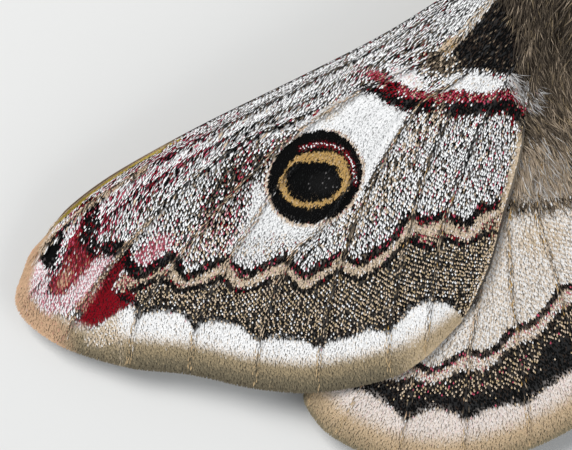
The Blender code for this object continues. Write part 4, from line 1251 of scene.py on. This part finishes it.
def swept(middles, wide, high):
    """A Surface of rings across a line. A ring's point at a turn from the top is the middle, less
    the half-width times its sine across, plus the half-height times its cosine up."""
    ahead = unit(np.gradient(middles, axis=0))
    across = unit(np.cross(ahead, (0, 0, 1)))
    up = np.cross(across, ahead)
    turn = np.linspace(0, 2 * math.pi, TURNS + 1)[:, None, None]
    wide, high = (np.broadcast_to(size, len(middles))[None, :, None] for size in (wide, high))
    return Surface(BODY_ORIGIN + middles - across * np.sin(turn) * wide + up * np.cos(turn) * high)


def egg(middle, radii, squareness, stations=60):
    """A rounded box: a sphere in rings along Y whose sines and cosines are raised to a power."""
    turn = np.linspace(0.03, math.pi - 0.03, stations)
    fuller = np.sin(turn) ** squareness
    cosine = np.sign(-np.cos(turn)) * np.abs(np.cos(turn)) ** squareness
    middles = middle + np.stack([0 * turn, cosine * radii[1], 0 * turn], axis=-1)
    return swept(middles, radii[0] * fuller, radii[2] * fuller)


def abdomen_surface():
    """Rings that swell to the middle and close bluntly, each with a fold at its rear edge."""
    share = np.linspace(-0.12, 1, 150)
    inside = np.clip(share, 0, 1)
    full = np.sin(math.pi * (0.22 + 0.66 * inside**0.9)) ** 0.62
    blunt = np.sqrt(np.maximum(1 - np.maximum(inside - 0.8, 0) ** 2 / 0.052, 0.02))
    fold = RING_FOLD * np.abs(np.sin(math.pi * inside * ABDOMEN_RINGS)) ** 0.5
    radius = (ABDOMEN_SKIN_RADIUS - RING_FOLD) * full * blunt + fold * blunt
    rearwards = np.array([0, math.cos(ABDOMEN_SLOPE), -math.sin(ABDOMEN_SLOPE)])
    middles = ABDOMEN_START + share[:, None] * ABDOMEN_LENGTH * rearwards
    return swept(middles, radius, radius * ABDOMEN_FLATNESS)


def leg_surface(joints, side):
    """A leg along its joints, a little narrower at each of them."""
    at = np.linspace(0, len(joints) - 1, 90)
    middles = curve_through(joints, at) * MM
    middles[:, 0] *= side
    radii = np.interp(at, range(len(joints)), LEG_SKIN_RADII) * MM
    radii = radii * (1 - 0.2 * np.exp(-(((at - np.round(at)) / 0.12) ** 2)))
    middles[:, 2] = np.maximum(middles[:, 2], radii + 0.01 * MM)
    return swept(middles, radii, radii)


thorax = egg(THORAX_MIDDLE, THORAX_SKIN_RADII, THORAX_SQUARENESS)
head = egg(HEAD_MIDDLE, HEAD_SKIN_RADII, HEAD_SQUARENESS)
neck = swept(np.linspace(HEAD_MIDDLE, THORAX_MIDDLE, 30), NECK_RADIUS, NECK_RADIUS)
abdomen = abdomen_surface()
palps, legs = [], {}
for side, word in SIDES:
    mirror = np.array([side, 1, 1])
    line = PALP_ROOT + np.linspace(0, 1, 20)[:, None] * PALP_LENGTH * PALP_AHEAD
    blunt = np.sqrt(np.linspace(1, 0.05, 20))
    palps.append(swept(line * mirror, PALP_RADIUS * blunt, PALP_RADIUS * 1.3 * blunt))
    for leg, joints in LEG_JOINTS.items():
        legs[f"{leg}_{word}"] = leg_surface(joints, side)


def shell(surface):
    """Points and triangles of a Surface of rings as a closed shape with flat ends."""
    rings = surface.points[:-1]
    turns, stations = rings.shape[:2]
    index = np.arange(turns * stations).reshape(turns, stations)
    following = np.roll(index, -1, axis=0)
    a, b, c, d = index[:, :-1], index[:, 1:], following[:, 1:], following[:, :-1]
    sides = np.concatenate([np.stack(corners, axis=-1).reshape(-1, 3) for corners in ((a, b, c), (a, c, d))])
    fan = np.stack([np.zeros(turns - 2, int), np.arange(1, turns - 1), np.arange(2, turns)], axis=-1)
    return rings.reshape(-1, 3), np.concatenate([sides, index[fan, 0], index[fan[:, ::-1], -1]])


def melted(name, surfaces, look):
    """One closed skin of many shapes, remeshed in millimetres because the voxels are so small."""
    points, faces, count = [], [], 0
    for surface in surfaces:
        own_points, own_faces = shell(surface)
        points.append(own_points / MM)
        faces.append(own_faces + count)
        count += len(own_points)
    rough = mesh_object("rough_skin", np.concatenate(points), np.concatenate(faces), look)
    remesh = rough.modifiers.new("one skin", "REMESH")
    remesh.mode = "VOXEL"
    remesh.voxel_size = SKIN_VOXEL_MM
    smooth = rough.modifiers.new("smooth", "SMOOTH")
    smooth.factor = 0.5
    smooth.iterations = 3
    graph = bpy.context.evaluated_depsgraph_get()
    mesh = bpy.data.meshes.new_from_object(rough.evaluated_get(graph))
    mesh.transform(Matrix.Scale(MM, 4))
    mesh.name = name
    mesh.shade_smooth()
    bpy.data.objects.remove(rough)
    skin = bpy.data.objects.new(name, mesh)
    bpy.context.scene.collection.objects.link(skin)
    return skin


skin_look = Look("chitin_skin", 0.55, 0.4)
mottle = skin_look.noise(900, 4)
fine = skin_look.noise(6000, 3)
skin_look.set("Base Color", skin_look.between(mottle, (0.035, 0.024, 0.017), (0.11, 0.08, 0.058)))
skin_look.set("Roughness", 0.45 + 0.3 * fine)
skin_look.bump(fine, 0.05 * MM, 0.6)
skin = melted("body_skin", [thorax, head, neck, abdomen, *palps, *legs.values()], skin_look)
fit(skin, "brown_coat", "head", "thorax", "abdomen", *legs)


# Coat of hair
# A moth's coat is long hair-like scales: thick and shaggy on the thorax and the roots of the
# wings, in pale-edged bands on the abdomen, and short and close on the head and the legs.
def strand_faces(rings):
    """Triangles of a three-cornered tapering strand with a flat root and a pointed tip."""
    faces = [(0, 2, 1)]
    for ring in range(rings - 1):
        for k in range(3):
            a, b = 3 * ring + k, 3 * ring + (k + 1) % 3
            faces += [(a, b, b + 3), (a, b + 3, a + 3)]
    tip = 3 * rings
    faces += [(tip - 3 + k, tip - 3 + (k + 1) % 3, tip) for k in range(3)]
    return np.array(faces)


# Rings of corners along a strand of short hair, of long hair and of a claw
SHORT_RINGS = 2
LONG_RINGS = 3
CLAW_RINGS = 6
# The three corners of a strand's section, as shares of its width
STRAND_ACROSS = np.array([-0.5, 0.5, 0.0])
STRAND_UP = np.array([-0.12, -0.12, 0.3])
ROOT_DEPTH = 0.08 * MM


def strands(root, along, up, length, width, lift, curl, rings):
    """Points of many strands. A strand's middle line runs along, rises by its lift as the sine of
    a quarter turn and bends sideways by its curl, as the square of the way to its tip."""
    across = np.cross(up, along)
    way = np.arange(rings) / rings
    thin = 1 - 0.75 * way**2
    sizes = (length, width, lift, curl)
    length, width, lift, curl = (np.broadcast_to(size, len(root))[:, None] for size in sizes)

    def middle(t):
        rise = lift * np.sin(t * math.pi / 2) - ROOT_DEPTH * (1 - t)
        steps = (along[:, None], length * t), (up[:, None], rise), (across[:, None], curl * t**2)
        return root[:, None] + sum(direction * amount[..., None] for direction, amount in steps)

    rings_at = middle(way[None])[:, :, None]
    size = (width * thin[None])[..., None, None]
    corners = rings_at + size * (
        across[:, None, None] * STRAND_ACROSS[:, None] + up[:, None, None] * STRAND_UP[:, None]
    )
    tips = middle(np.ones((1, 1)))
    return np.concatenate([corners.reshape(len(root), -1, 3), tips], axis=1)


def strand_patch(rings):
    """The strand laid flat on the bake map: up its length and across its corners."""
    rows = [(ring / rings, STRAND_ACROSS[k]) for ring in range(rings) for k in range(3)]
    return np.array([*rows, (1.0, 0.0)])


hair_look = grained("moth_hair", 0.7, 0.3, 5000, 2, (0.75, 0.5), 0.02 * MM, 0.4, (0.55, 0.3))


def strand_mesh(name, points, colours, places, rings, look, mirrored=False):
    """A mesh of strands with a colour and a place on the bake map for each, with painted shade at the
    roots and painted light at the tips.
    """
    size = 3 * rings + 1
    made = mesh_object(name, points, numbered(strand_faces(rings), len(points), size), look, mirrored)
    # Painted shade makes each strand darkest at its root, and painted light makes its tip brightest
    fade = np.concatenate([np.repeat(0.5 + 0.6 * np.arange(rings) / rings, 3), [1.15]])
    paint(made, np.repeat(colours, size, axis=0) * np.tile(fade, len(points))[:, None])
    unwrap(made, patches(places, strand_patch(rings)))
    return made


def strewn(surface, spacing, random):
    """Rows and columns of roots spread evenly over a Surface: rings a spacing apart, and roots a
    spacing apart on each ring, all a little shifted."""
    step = np.linalg.norm(surface.along, axis=-1).mean(axis=0)
    length = np.cumsum(step) - step[0]
    around = np.linalg.norm(surface.down, axis=-1)[:-1].sum(axis=0)
    columns = np.arange(0.5 * spacing, length[-1], spacing)
    column = np.interp(columns, length, np.arange(len(length)))
    count = np.maximum(np.interp(column, np.arange(len(around)), around) / spacing, 1).astype(int)
    v = np.repeat(column, count)
    place = np.arange(count.sum()) - np.repeat(np.cumsum(count) - count, count)
    u = (place + random.random(len(place))) / np.repeat(count, count) * TURNS
    v = v + random.uniform(-0.5, 0.5, len(v)) * np.repeat(np.gradient(column), count)
    return u, np.clip(v, 0, len(length) - 1.001)


FLOOR_GIVE = 0.1 * MM


def above_floor(points):
    """Strands pressed up off the floor: a height becomes the logarithm of one plus its exponential,
    in units of the depth over which they give way."""
    pressed = points.copy()
    pressed[..., 2] = FLOOR_GIVE * np.logaddexp(0.0, points[..., 2] / FLOOR_GIVE)
    return pressed


def make_coat(name, surfaces, spacing, style, comb, random):
    """Hair over Surfaces. style takes the turn from the top, the share along and the point, and
    gives the mixture of colours, the length, width and lift, and the lie to one side in radians.
    comb gives a pull at each point, which turns the hair before it is laid down on the surface."""
    made, colours, places = [], [], []
    for k, surface in enumerate(surfaces):
        u, v = strewn(surface, spacing, random)
        point, along, across, up = surface.frame(u, v)
        turn = u / TURNS * 2 * math.pi
        turn = np.where(turn > math.pi, turn - 2 * math.pi, turn)
        share = v / (surface.points.shape[1] - 1)
        shares, length, width, lift, lie = style(turn, share, point)
        kept = length > 0
        count = len(u)
        lie = lie + random.normal(0, 0.16, count)
        length = length * random.uniform(0.75, 1.15, count)
        width = width * random.uniform(0.8, 1.2, count)
        lift = lift * random.uniform(0.6, 1.3, count)
        curl = length * random.normal(0, 0.1, count)
        direction = along * np.cos(lie)[:, None] + across * np.sin(lie)[:, None]
        if comb is not None:
            pulled = direction + comb(point)
            direction = unit(pulled - (pulled * up).sum(axis=-1, keepdims=True) * up)
        parts = (point, direction, up, length, width, lift, curl)
        made.append(above_floor(strands(*(part[kept] for part in parts), SHORT_RINGS)))
        base = 0.65 * picked(shares, random.random(count)) + 0.35 * (shares @ COLOUR_TABLE)
        base = base * random.uniform(0.75, 1.2, (count, 1))
        colours.append(base[kept])
        across_map = (k + (u / TURNS)[kept]) / len(surfaces)
        places.append(np.stack([across_map, share[kept]], axis=-1))
    points, colours, places = (np.concatenate(lists) for lists in (made, colours, places))
    return strand_mesh(name, points, colours, places, SHORT_RINGS, hair_look)


THORAX_HAIR = {"taupe": 0.46, "soot": 0.38, "cream": 0.08, "buff": 0.08}
COLLAR_HAIR = {"white": 0.5, "cream": 0.3, "taupe": 0.2}
ABDOMEN_HAIR = {"taupe": 0.55, "soot": 0.28, "grey": 0.1, "buff": 0.07}
RING_EDGE_HAIR = {"cream": 0.5, "white": 0.22, "taupe": 0.28}
CROWN_HAIR = {"taupe": 0.6, "soot": 0.3, "cream": 0.1}
FACE_HAIR = {"taupe": 0.5, "soot": 0.3, "buff": 0.2}
LEG_HAIR = {"taupe": 0.5, "soot": 0.38, "buff": 0.12}
FOOT_SCALES = {"soot": 0.6, "taupe": 0.3, "cream": 0.1}
# The eye's middle from the head's, and the reach round it without hair, in millimetres
EYE_STEP_MM = (1.35, -0.25, -0.1)
BARE_ROUND_EYE_MM = 1.0


def blend_of(amount, first, second):
    """A mixture part of the way from one to the other at each place."""
    amount = np.clip(amount, 0, 1)[:, None]
    return mixture(**first) * (1 - amount) + mixture(**second) * amount


def thorax_style(turn, share, point):
    """Long shaggy hair, combed back and a little outwards, with a pale collar and darker middle."""
    collar = smooth_step((0.2 - share) / 0.08)
    below = smooth_step((np.abs(turn) - 1.75) / 0.4)
    shares = blend_of(collar * (1 - below), THORAX_HAIR, COLLAR_HAIR)
    length = (2.9 - 1.3 * smooth_step((0.28 - share) / 0.22) - 1.2 * below) * MM
    width = (0.085 - 0.01 * collar) * MM
    lift = (0.95 - 0.35 * below) * MM * (1 - 0.45 * smooth_step((share - 0.6) / 0.4))
    lie = 0.45 * np.sin(turn) * (1 - below)
    return shares, length, width, lift, lie


def abdomen_style(turn, share, point):
    """Short dense hair that lies back in bands, paler at the rear edge of each ring and below, and
    stands out behind as a tuft."""
    ring = share * 1.12 - 0.12
    in_ring = np.mod(ring * ABDOMEN_RINGS, 1.0)
    edge = smooth_step((in_ring - 0.62) / 0.2)
    side = smooth_step((np.abs(turn) - 1.2) / 0.5)
    shares = blend_of(0.75 * edge + 0.3 * side, ABDOMEN_HAIR, RING_EDGE_HAIR)
    waist = smooth_step((0.25 - share) / 0.25)
    tail = smooth_step((share - 0.8) / 0.2)
    tuft = smooth_step((share - 0.93) / 0.05)
    length = (1.35 + 0.5 * waist + 0.4 * side - 0.5 * tail) * MM
    lift = (0.24 + 0.14 * side + 0.6 * tuft) * MM
    return shares, length, 0.12 * MM, lift, 0.12 * np.sin(turn)


def head_style(turn, share, point):
    """Short hair over the crown and the face, shortest beside the eyes and none on them. It stands
    up along the parting, from which it lies forwards on the face and back on the crown."""
    shares = blend_of(smooth_step((0.4 - share) / 0.3), CROWN_HAIR, FACE_HAIR)
    x, y, z = ((point - BODY_ORIGIN - HEAD_MIDDLE) / MM).T
    sideways = np.hypot(np.abs(x) - EYE_STEP_MM[0], y - EYE_STEP_MM[1])
    eye = np.hypot(sideways, z - EYE_STEP_MM[2])
    grown = 0.22 + 0.6 * smooth_step((eye - BARE_ROUND_EYE_MM) / 0.7)
    length = np.where(eye < BARE_ROUND_EYE_MM, 0.0, grown) * MM
    parting = np.exp(-(((y + 0.1) / 0.35) ** 2)) * (z > 0)
    return shares, length, 0.062 * MM, (0.3 + 0.7 * parting) * length, 0.0


def face_comb(point):
    """The hair of the brow and the face is combed ahead and down, towards the palps."""
    local = (point - BODY_ORIGIN - HEAD_MIDDLE) / MM
    return 4 * smooth_step((0.1 - local[:, 1]) / 0.5)[:, None] * np.array([0, -0.6, -1.0])


def leg_style(turn, share, point):
    """Close hair on the thigh and the shin, and only short scales on the foot."""
    foot = smooth_step((share - 0.6) / 0.12)
    shares = blend_of(foot, LEG_HAIR, FOOT_SCALES)
    length = (0.56 - 0.3 * foot) * MM
    return shares, length, (0.07 - 0.02 * foot) * MM, (0.12 - 0.07 * foot) * MM, 0.0


def drawn_colours(count, random, **parts):
    """Colours drawn from one mixture, half way to its mean, and varied in brightness."""
    shares = mixture(**parts)
    choice = np.searchsorted(np.cumsum(shares), random.random(count) * 0.9999)
    colours = 0.75 * COLOUR_TABLE[choice] + 0.25 * (shares @ COLOUR_TABLE)
    return colours * random.uniform(0.7, 1.25, (count, 1))


# Where hair hides the roots of the wings, in pixels
FOREWING_HAIR_FIELD = [
    (520, -70), (500, -20), (520, 20), (517, 60), (516, 100), (530, 128), (590, 120), (590, -60),
]
HINDWING_HAIR_FIELD = [
    (500, 60), (508, 150), (508, 172), (540, 180), (575, 172), (600, 166), (600, 20), (540, 0),
]
WHITE_TUFT_FIELD = [(506, 74), (516, 72), (523, 82), (526, 96), (521, 101), (510, 88)]
ROOT_FRINGE_FIELD = [
    (504, 188), (545, 190), (575, 180), (590, 174), (590, 188), (572, 194), (545, 202), (504, 202),
]
FIELD_BLUR_PX = 14
# How many degrees the hair turns inwards at rows of the photograph
HAIR_TURN_ROWS_PX = (-60, 20, 70, 110, 160)
HAIR_TURNS = (-12, -6, 16, 34, 24)
# The rows over which the hindmost hair turns pale, and its colours
PALE_HAIR_ROWS_PX = (112, 148)
PALE_HAIR = {"cream": 0.68, "buff": 0.12, "white": 0.2}
# Hair of the wings: the wing, the roots tried, the greatest share of the way out and the field;
# the length, width and lift in millimetres; the degrees it turns in besides, the share of pale
# hair at its rear end, its colours and its slot
WING_HAIR = {
    "forewing_hair": (
        "forewing", 9500, 0.34, FOREWING_HAIR_FIELD, (1.5, 0.065, 0.3), 0, 0,
        {"taupe": 0.4, "soot": 0.46, "buff": 0.06, "cream": 0.08}, "brown_coat",
    ),
    "white_tuft": (
        "forewing", 30000, 0.42, WHITE_TUFT_FIELD, (1.35, 0.055, 0.3), 24, 0,
        {"white": 0.72, "cream": 0.12, "taupe": 0.1, "pink": 0.06}, "grey_wing",
    ),
    "hindwing_hair": (
        "hindwing", 5200, 0.5, HINDWING_HAIR_FIELD, (1.9, 0.07, 0.35), 0, 0.97,
        {"taupe": 0.45, "soot": 0.28, "buff": 0.1, "cream": 0.17}, "brown_coat",
    ),
    "root_fringe": (
        "hindwing", 9000, 0.6, ROOT_FRINGE_FIELD, (1.15, 0.06, 0.22), 0, 0,
        {"taupe": 0.5, "soot": 0.3, "buff": 0.12, "cream": 0.08}, "brown_coat",
    ),
}
SHOULDER_HAIR = {"taupe": 0.42, "soot": 0.4, "buff": 0.08, "cream": 0.1}
SHOULDER_HAIRS = 2600


def make_wing_hair(name, wing, count, reach, field, hairs, turned, pale, parts, mirrored, random):
    """Long hair rooted on a wing near its hinge, inside a field of the photograph's pixels. It lies
    straight back, and turns in towards the body further back and by turned degrees more."""
    p = random.uniform(0.1, wing.gaps - 0.05, count)
    q = reach * np.sqrt(random.random(count))
    px = wing.px(p, q)
    inside = Mosaic(px, mixture(black=1)).field(field, FIELD_BLUR_PX) > random.random(count)
    p, q, px = p[inside], q[inside], px[inside]
    here, _, up = wing.frame(p, q)
    turned = turned + np.interp(px[:, 1], HAIR_TURN_ROWS_PX, HAIR_TURNS)
    inwards = np.radians(turned + random.normal(0, 9, len(p)))[:, None]
    along = np.cos(inwards) * PHOTO_DOWN + np.sin(inwards) * PHOTO_RIGHT
    along = unit(along - (along * up).sum(axis=-1, keepdims=True) * up)
    length, width, lift = (size * MM * random.uniform(0.65, 1.25, len(p)) for size in hairs)
    curl = length * random.normal(0, 0.14, len(p))
    points = strands(here, along, up, length, width, lift, curl, LONG_RINGS)
    colours = drawn_colours(len(p), random, **parts)
    light = drawn_colours(len(p), random, **PALE_HAIR)
    rearmost = pale * smooth_step((px[:, 1] - PALE_HAIR_ROWS_PX[0]) / np.ptp(PALE_HAIR_ROWS_PX))
    colours = np.where((random.random(len(p)) < rearmost)[:, None], light, colours)
    places = np.stack([p / wing.gaps, q], axis=-1)
    return strand_mesh(name, points, colours, places, LONG_RINGS, hair_look, mirrored)


def make_shoulder_hair(name, count, mirrored, random):
    """Long tufts from the left shoulder, which sweep out and back over the roots of the wings."""
    turn = 2 * math.pi - np.radians(random.uniform(28, 66, count))
    share = random.uniform(0.14, 0.8, count)
    stations = thorax.points.shape[1] - 1
    point = thorax.frame(turn / (2 * math.pi) * TURNS, share * stations)[0]
    outwards = np.radians(random.normal(66, 12, count) + 20 * share)
    direction = np.cos(outwards)[:, None] * OUTWARDS + np.sin(outwards)[:, None] * BACKWARDS
    length = random.uniform(2.2, 3.9, count) * MM
    width = random.uniform(0.05, 0.1, count) * MM
    lift = random.uniform(0.25, 0.8, count) * MM
    curl = length * random.normal(0, 0.13, count)
    up = np.tile(UPWARDS, (count, 1))
    points = strands(point, direction, up, length, width, lift, curl, LONG_RINGS)
    colours = drawn_colours(count, random, **SHOULDER_HAIR)
    places = np.stack([turn / (2 * math.pi), share], axis=-1)
    return strand_mesh(name, points, colours, places, LONG_RINGS, hair_look, mirrored)


# Coats: the surfaces, the millimetres between roots, the style, the comb, the slot and the nodes
COATS = {
    "thorax_hair": ([thorax], 0.108, thorax_style, None, "brown_coat", ["thorax"]),
    "abdomen_hair": ([abdomen], 0.17, abdomen_style, None, "brown_coat", ["abdomen"]),
    "head_hair": ([head], 0.075, head_style, face_comb, "brown_coat", ["head"]),
    "leg_hair": (list(legs.values()), 0.148, leg_style, None, "leg", list(legs)),
}
random = np.random.default_rng(7)
for name, (surfaces, spacing, style, comb, slot, nodes) in COATS.items():
    fit(make_coat(name, surfaces, spacing * MM, style, comb, random), slot, *nodes)

for side, word in SIDES:
    mirrored = side < 0
    random = np.random.default_rng(40 + side)
    for kind, (wing_kind, *sizes, slot) in WING_HAIR.items():
        hair = make_wing_hair(f"{kind}_{word}", WINGS[wing_kind][0], *sizes, mirrored, random)
        fit(hair, slot, f"{wing_kind}_{word}")
    hair = make_shoulder_hair(f"shoulder_hair_{word}", SHOULDER_HAIRS, mirrored, random)
    fit(hair, "brown_coat", "thorax")


# Eyes
# A moth's eye is a dark glossy ball of hundreds of close facets, set in the side of the head.
EYE_RADIUS = 0.85 * MM
EYE_MIDDLE = np.array([1.35, -4.4, 4.9]) * MM
eye_look = Look("compound_eye", 0.22, 0.5)
FACETS_PER_METRE = 16000.0
facet = eye_look.add(
    "ShaderNodeTexVoronoi",
    {"feature": "DISTANCE_TO_EDGE"},
    {"Vector": eye_look.place(), "Scale": FACETS_PER_METRE},
)
sheen = eye_look.noise(1400, 3)
eye_look.set("Base Color", eye_look.between(sheen, (0.008, 0.006, 0.005), (0.05, 0.034, 0.022)))
eye_look.set("Coat Weight", 0.4)
eye_look.bump(facet, 0.02 * MM, 0.7)


def ball(middle, radius):
    """A sphere in rings along Y, closed at its poles by small flat caps."""
    turn = np.linspace(0.02, math.pi - 0.02, 40)
    middles = middle + np.stack([0 * turn, -np.cos(turn) * radius, 0 * turn], axis=-1)
    return swept(middles, radius * np.sin(turn), radius * np.sin(turn))


for side, word in SIDES:
    surface = ball(EYE_MIDDLE * (side, 1, 1), EYE_RADIUS)
    points, faces = shell(surface)
    fit(mesh_object(f"compound_eye_{word}", points, faces, eye_look), "eye", f"eye_{word}")


# Feelers
# A female's feeler is a tapering yellow-brown shaft of some forty joints, with a short blunt
# tooth on each side of every joint and pale scales along its back.
FEELER_REACH = 8.6 * MM
FEELER_JOINTS = 42
FEELER_RADIUS = 0.15 * MM
SHAFT_COLOUR = (0.36, 0.24, 0.12)
TOOTH_LENGTH = 0.8 * MM
TOOTH_WIDTH = 0.13 * MM
TOOTH_LIFT = 0.03 * MM
TOOTH_COLOUR = (0.33, 0.21, 0.10)
FEELER_SCALES = {"buff": 0.4, "cream": 0.3, "taupe": 0.3}
FEELER_SCALES_APART = 0.05 * MM
FEELER_SCALES_LIFT = 0.025 * MM
BROW = HEAD_MIDDLE + np.array([0.95, -1.05, 1.55]) * MM
feeler_look = grained("feeler_horn", 0.45, 0.4, 5000, 3, (0.7, 0.6), 0.02 * MM, 0.5)


def feeler_line(share):
    """Outwards and ahead from the brow, turning back and sinking towards the tip."""
    turn = np.radians(-38 + 46 * share)
    outwards = FEELER_REACH * share * np.cos(turn)
    ahead = FEELER_REACH * share * np.sin(turn) * 0.9
    sink = (0.35 * share - 2.6 * share**2) * MM
    return BROW + np.stack([outwards, ahead, sink], axis=-1)


def make_shaft(name, surface, share, mirrored):
    """The shaft in one colour, with its place on the map around it and along it."""
    points, faces = shell(surface)
    shaft = mesh_object(name, points, faces, feeler_look, mirrored)
    paint(shaft, np.tile(SHAFT_COLOUR, (len(points), 1)))
    grid = np.meshgrid(np.linspace(0.02, 0.3, TURNS), share * 0.96 + 0.02, indexing="ij")
    unwrap(shaft, np.stack(grid, axis=-1).reshape(-1, 2))
    return shaft


def make_teeth(name, mirrored, random):
    """A stiff strand on each side of each joint, slanted ahead and down, longest at mid-feeler."""
    at = np.repeat((np.arange(1, FEELER_JOINTS) + 0.1) / FEELER_JOINTS, 2)
    way = np.tile([1.0, -1.0], FEELER_JOINTS - 1)[:, None]
    along = unit(feeler_line(at + 0.005) - feeler_line(at - 0.005))
    across = unit(np.cross(along, (0, 0, 1)))
    out = unit(across * way + along * 0.6 - np.array([0, 0, 0.3]))
    up = unit(np.cross(out, along) * way)
    length = TOOTH_LENGTH * (0.5 + 0.5 * np.sin(math.pi * np.minimum(at * 1.15, 1)))
    bend = -0.18 * length * way[:, 0]
    roots = BODY_ORIGIN + feeler_line(at)
    teeth = strands(roots, out, up, length, TOOTH_WIDTH, TOOTH_LIFT, bend, LONG_RINGS)
    colours = np.tile(TOOTH_COLOUR, (len(at), 1)) * random.uniform(0.8, 1.15, (len(at), 1))
    places = np.stack([np.full(len(at), 0.4), at], axis=-1)
    return strand_mesh(name, teeth, colours, places, LONG_RINGS, feeler_look, mirrored)


def make_feeler_scales(name, surface, mirrored, random):
    """Short pale scales that lie along the back of the shaft."""
    u, v = strewn(surface, FEELER_SCALES_APART, random)
    point, along, across, up = surface.frame(u, v)
    kept = up[:, 2] > -0.2
    count = kept.sum()
    length = random.uniform(0.14, 0.24, count) * MM
    width = random.uniform(0.04, 0.07, count) * MM
    lying = point[kept], along[kept], up[kept]
    scales = strands(*lying, length, width, FEELER_SCALES_LIFT, 0.0, SHORT_RINGS)
    colours = drawn_colours(count, random, **FEELER_SCALES)
    places = np.stack([u[kept] / TURNS, v[kept] / surface.points.shape[1]], axis=-1)
    return strand_mesh(name, scales, colours, places, SHORT_RINGS, hair_look, mirrored)


def make_feeler(name, mirrored, random):
    """The shaft, with a bead at each joint, its teeth and its scales."""
    share = np.linspace(0.0, 1.0, FEELER_JOINTS * 3 + 1)
    bead = 1 + 0.14 * np.cos(2 * math.pi * share * FEELER_JOINTS)
    radius = FEELER_RADIUS * (1 - 0.6 * share) * bead * np.clip((1.004 - share) / 0.02, 0.1, 1)
    surface = swept(feeler_line(share), radius, radius)
    shaft = make_shaft(name, surface, share, mirrored)
    teeth = make_teeth(f"{name}_teeth", mirrored, random)
    return shaft, teeth, make_feeler_scales(f"{name}_scales", surface, mirrored, random)


for side, word in SIDES:
    random = np.random.default_rng(60 + side)
    for piece in make_feeler(f"feeler_{word}", side < 0, random):
        fit(piece, "feeler", f"antenna_{word}")


# Claws
# Each foot ends in a pair of small curved claws of hard dark horn.
CLAW_LENGTH = 0.42 * MM
CLAW_WIDTH = 0.1 * MM
CLAW_DROP = 0.09 * MM
CLAW_APART_MM = 0.06
CLAW_COLOUR = (0.03, 0.018, 0.012)
CLAW_PLACES = [(0.3, 0.5), (0.6, 0.5)]
# The rings of a leg that give the toe and the way the foot points, counted from its end
TOE_RING = -3
FOOT_RING = -8
claw_look = grained("claw_horn", 0.3, 0.5, 4000, 3, (0.6, 0.8), 0.01 * MM, 0.3)
for name, surface in legs.items():
    toe = surface.points[:-1, TOE_RING].mean(axis=0)
    ahead = unit(toe - surface.points[:-1, FOOT_RING].mean(axis=0))
    ahead = np.tile(unit(ahead * (1, 1, 0)), (2, 1))
    across = np.cross((0, 0, 1), ahead) * np.array([[1], [-1]])
    roots = np.tile(toe, (2, 1)) + across * CLAW_APART_MM * MM
    up = np.tile((0.0, 0.0, 1.0), (2, 1))
    along = unit(ahead + 0.35 * across)
    points = strands(roots, along, up, CLAW_LENGTH, CLAW_WIDTH, -CLAW_DROP, 0.0, CLAW_RINGS)
    colours = np.tile(CLAW_COLOUR, (2, 1))
    fit(strand_mesh(f"claws_{name}", points, colours, CLAW_PLACES, CLAW_RINGS, claw_look), "leg", name)


# Floor, light and camera
# A plain pale floor, one large soft lamp high on the left of the picture, a weaker one on the
# right and an even sky. The camera looks straight down on the left wings, as the photograph does.
PHOTO_SIZE_PX = np.array([572.0, 450.0])
CAMERA_LENS = 100.0
CAMERA_SENSOR = 22.3
CAMERA_RANGE = 0.001, 10.0
FLOOR_SIZE = 2.0
FLOOR_COLOUR = (0.72, 0.71, 0.69, 1.0)
SKY_COLOUR = (0.86, 0.93, 1.0, 1.0)
SKY_STRENGTH = 0.38
floor_look = Look("floor", 0.9, 0.2)
floor_look.set("Base Color", FLOOR_COLOUR)
bpy.ops.mesh.primitive_plane_add(size=FLOOR_SIZE)
floor = bpy.context.object
floor.name = "floor"
floor.data.materials.append(floor_look.material)

world = bpy.data.worlds.new("studio")
world.use_nodes = True
sky = world.node_tree.nodes["Background"].inputs
sky["Color"].default_value = SKY_COLOUR
sky["Strength"].default_value = SKY_STRENGTH
bpy.context.scene.world = world


def soft_lamp(name, place, size, power):
    """A square lamp that faces the moth."""
    data = bpy.data.lights.new(name, "AREA")
    data.size = size
    data.energy = power
    lamp = bpy.data.objects.new(name, data)
    bpy.context.scene.collection.objects.link(lamp)
    lamp.location = place
    lamp.rotation_euler = (-Vector(place)).to_track_quat("-Z", "Y").to_euler()


soft_lamp("key_lamp", place=(0.22, -0.2, 0.4), size=0.24, power=2.1)
soft_lamp("fill_lamp", place=(-0.3, 0.3, 0.35), size=0.4, power=0.85)

middle_of_photo = in_space(PHOTO_SIZE_PX[None] / 2, np.zeros(1))[0]
view_width = PHOTO_SIZE_PX[0] / PX_PER_METRE
camera_place = middle_of_photo + UPWARDS * view_width * CAMERA_LENS / CAMERA_SENSOR
camera_data = bpy.data.cameras.new("camera")
camera_data.lens = CAMERA_LENS
camera_data.sensor_width = CAMERA_SENSOR
camera_data.clip_start, camera_data.clip_end = CAMERA_RANGE
camera = bpy.data.objects.new("camera", camera_data)
bpy.context.scene.collection.objects.link(camera)
turned = np.eye(4)
turned[:3, 0] = PHOTO_RIGHT
turned[:3, 1] = -PHOTO_DOWN
turned[:3, 2] = UPWARDS
turned[:3, 3] = camera_place
camera.matrix_world = Matrix(turned.tolist())
bpy.context.scene.camera = camera
bpy.context.scene.view_settings.view_transform = "Standard"
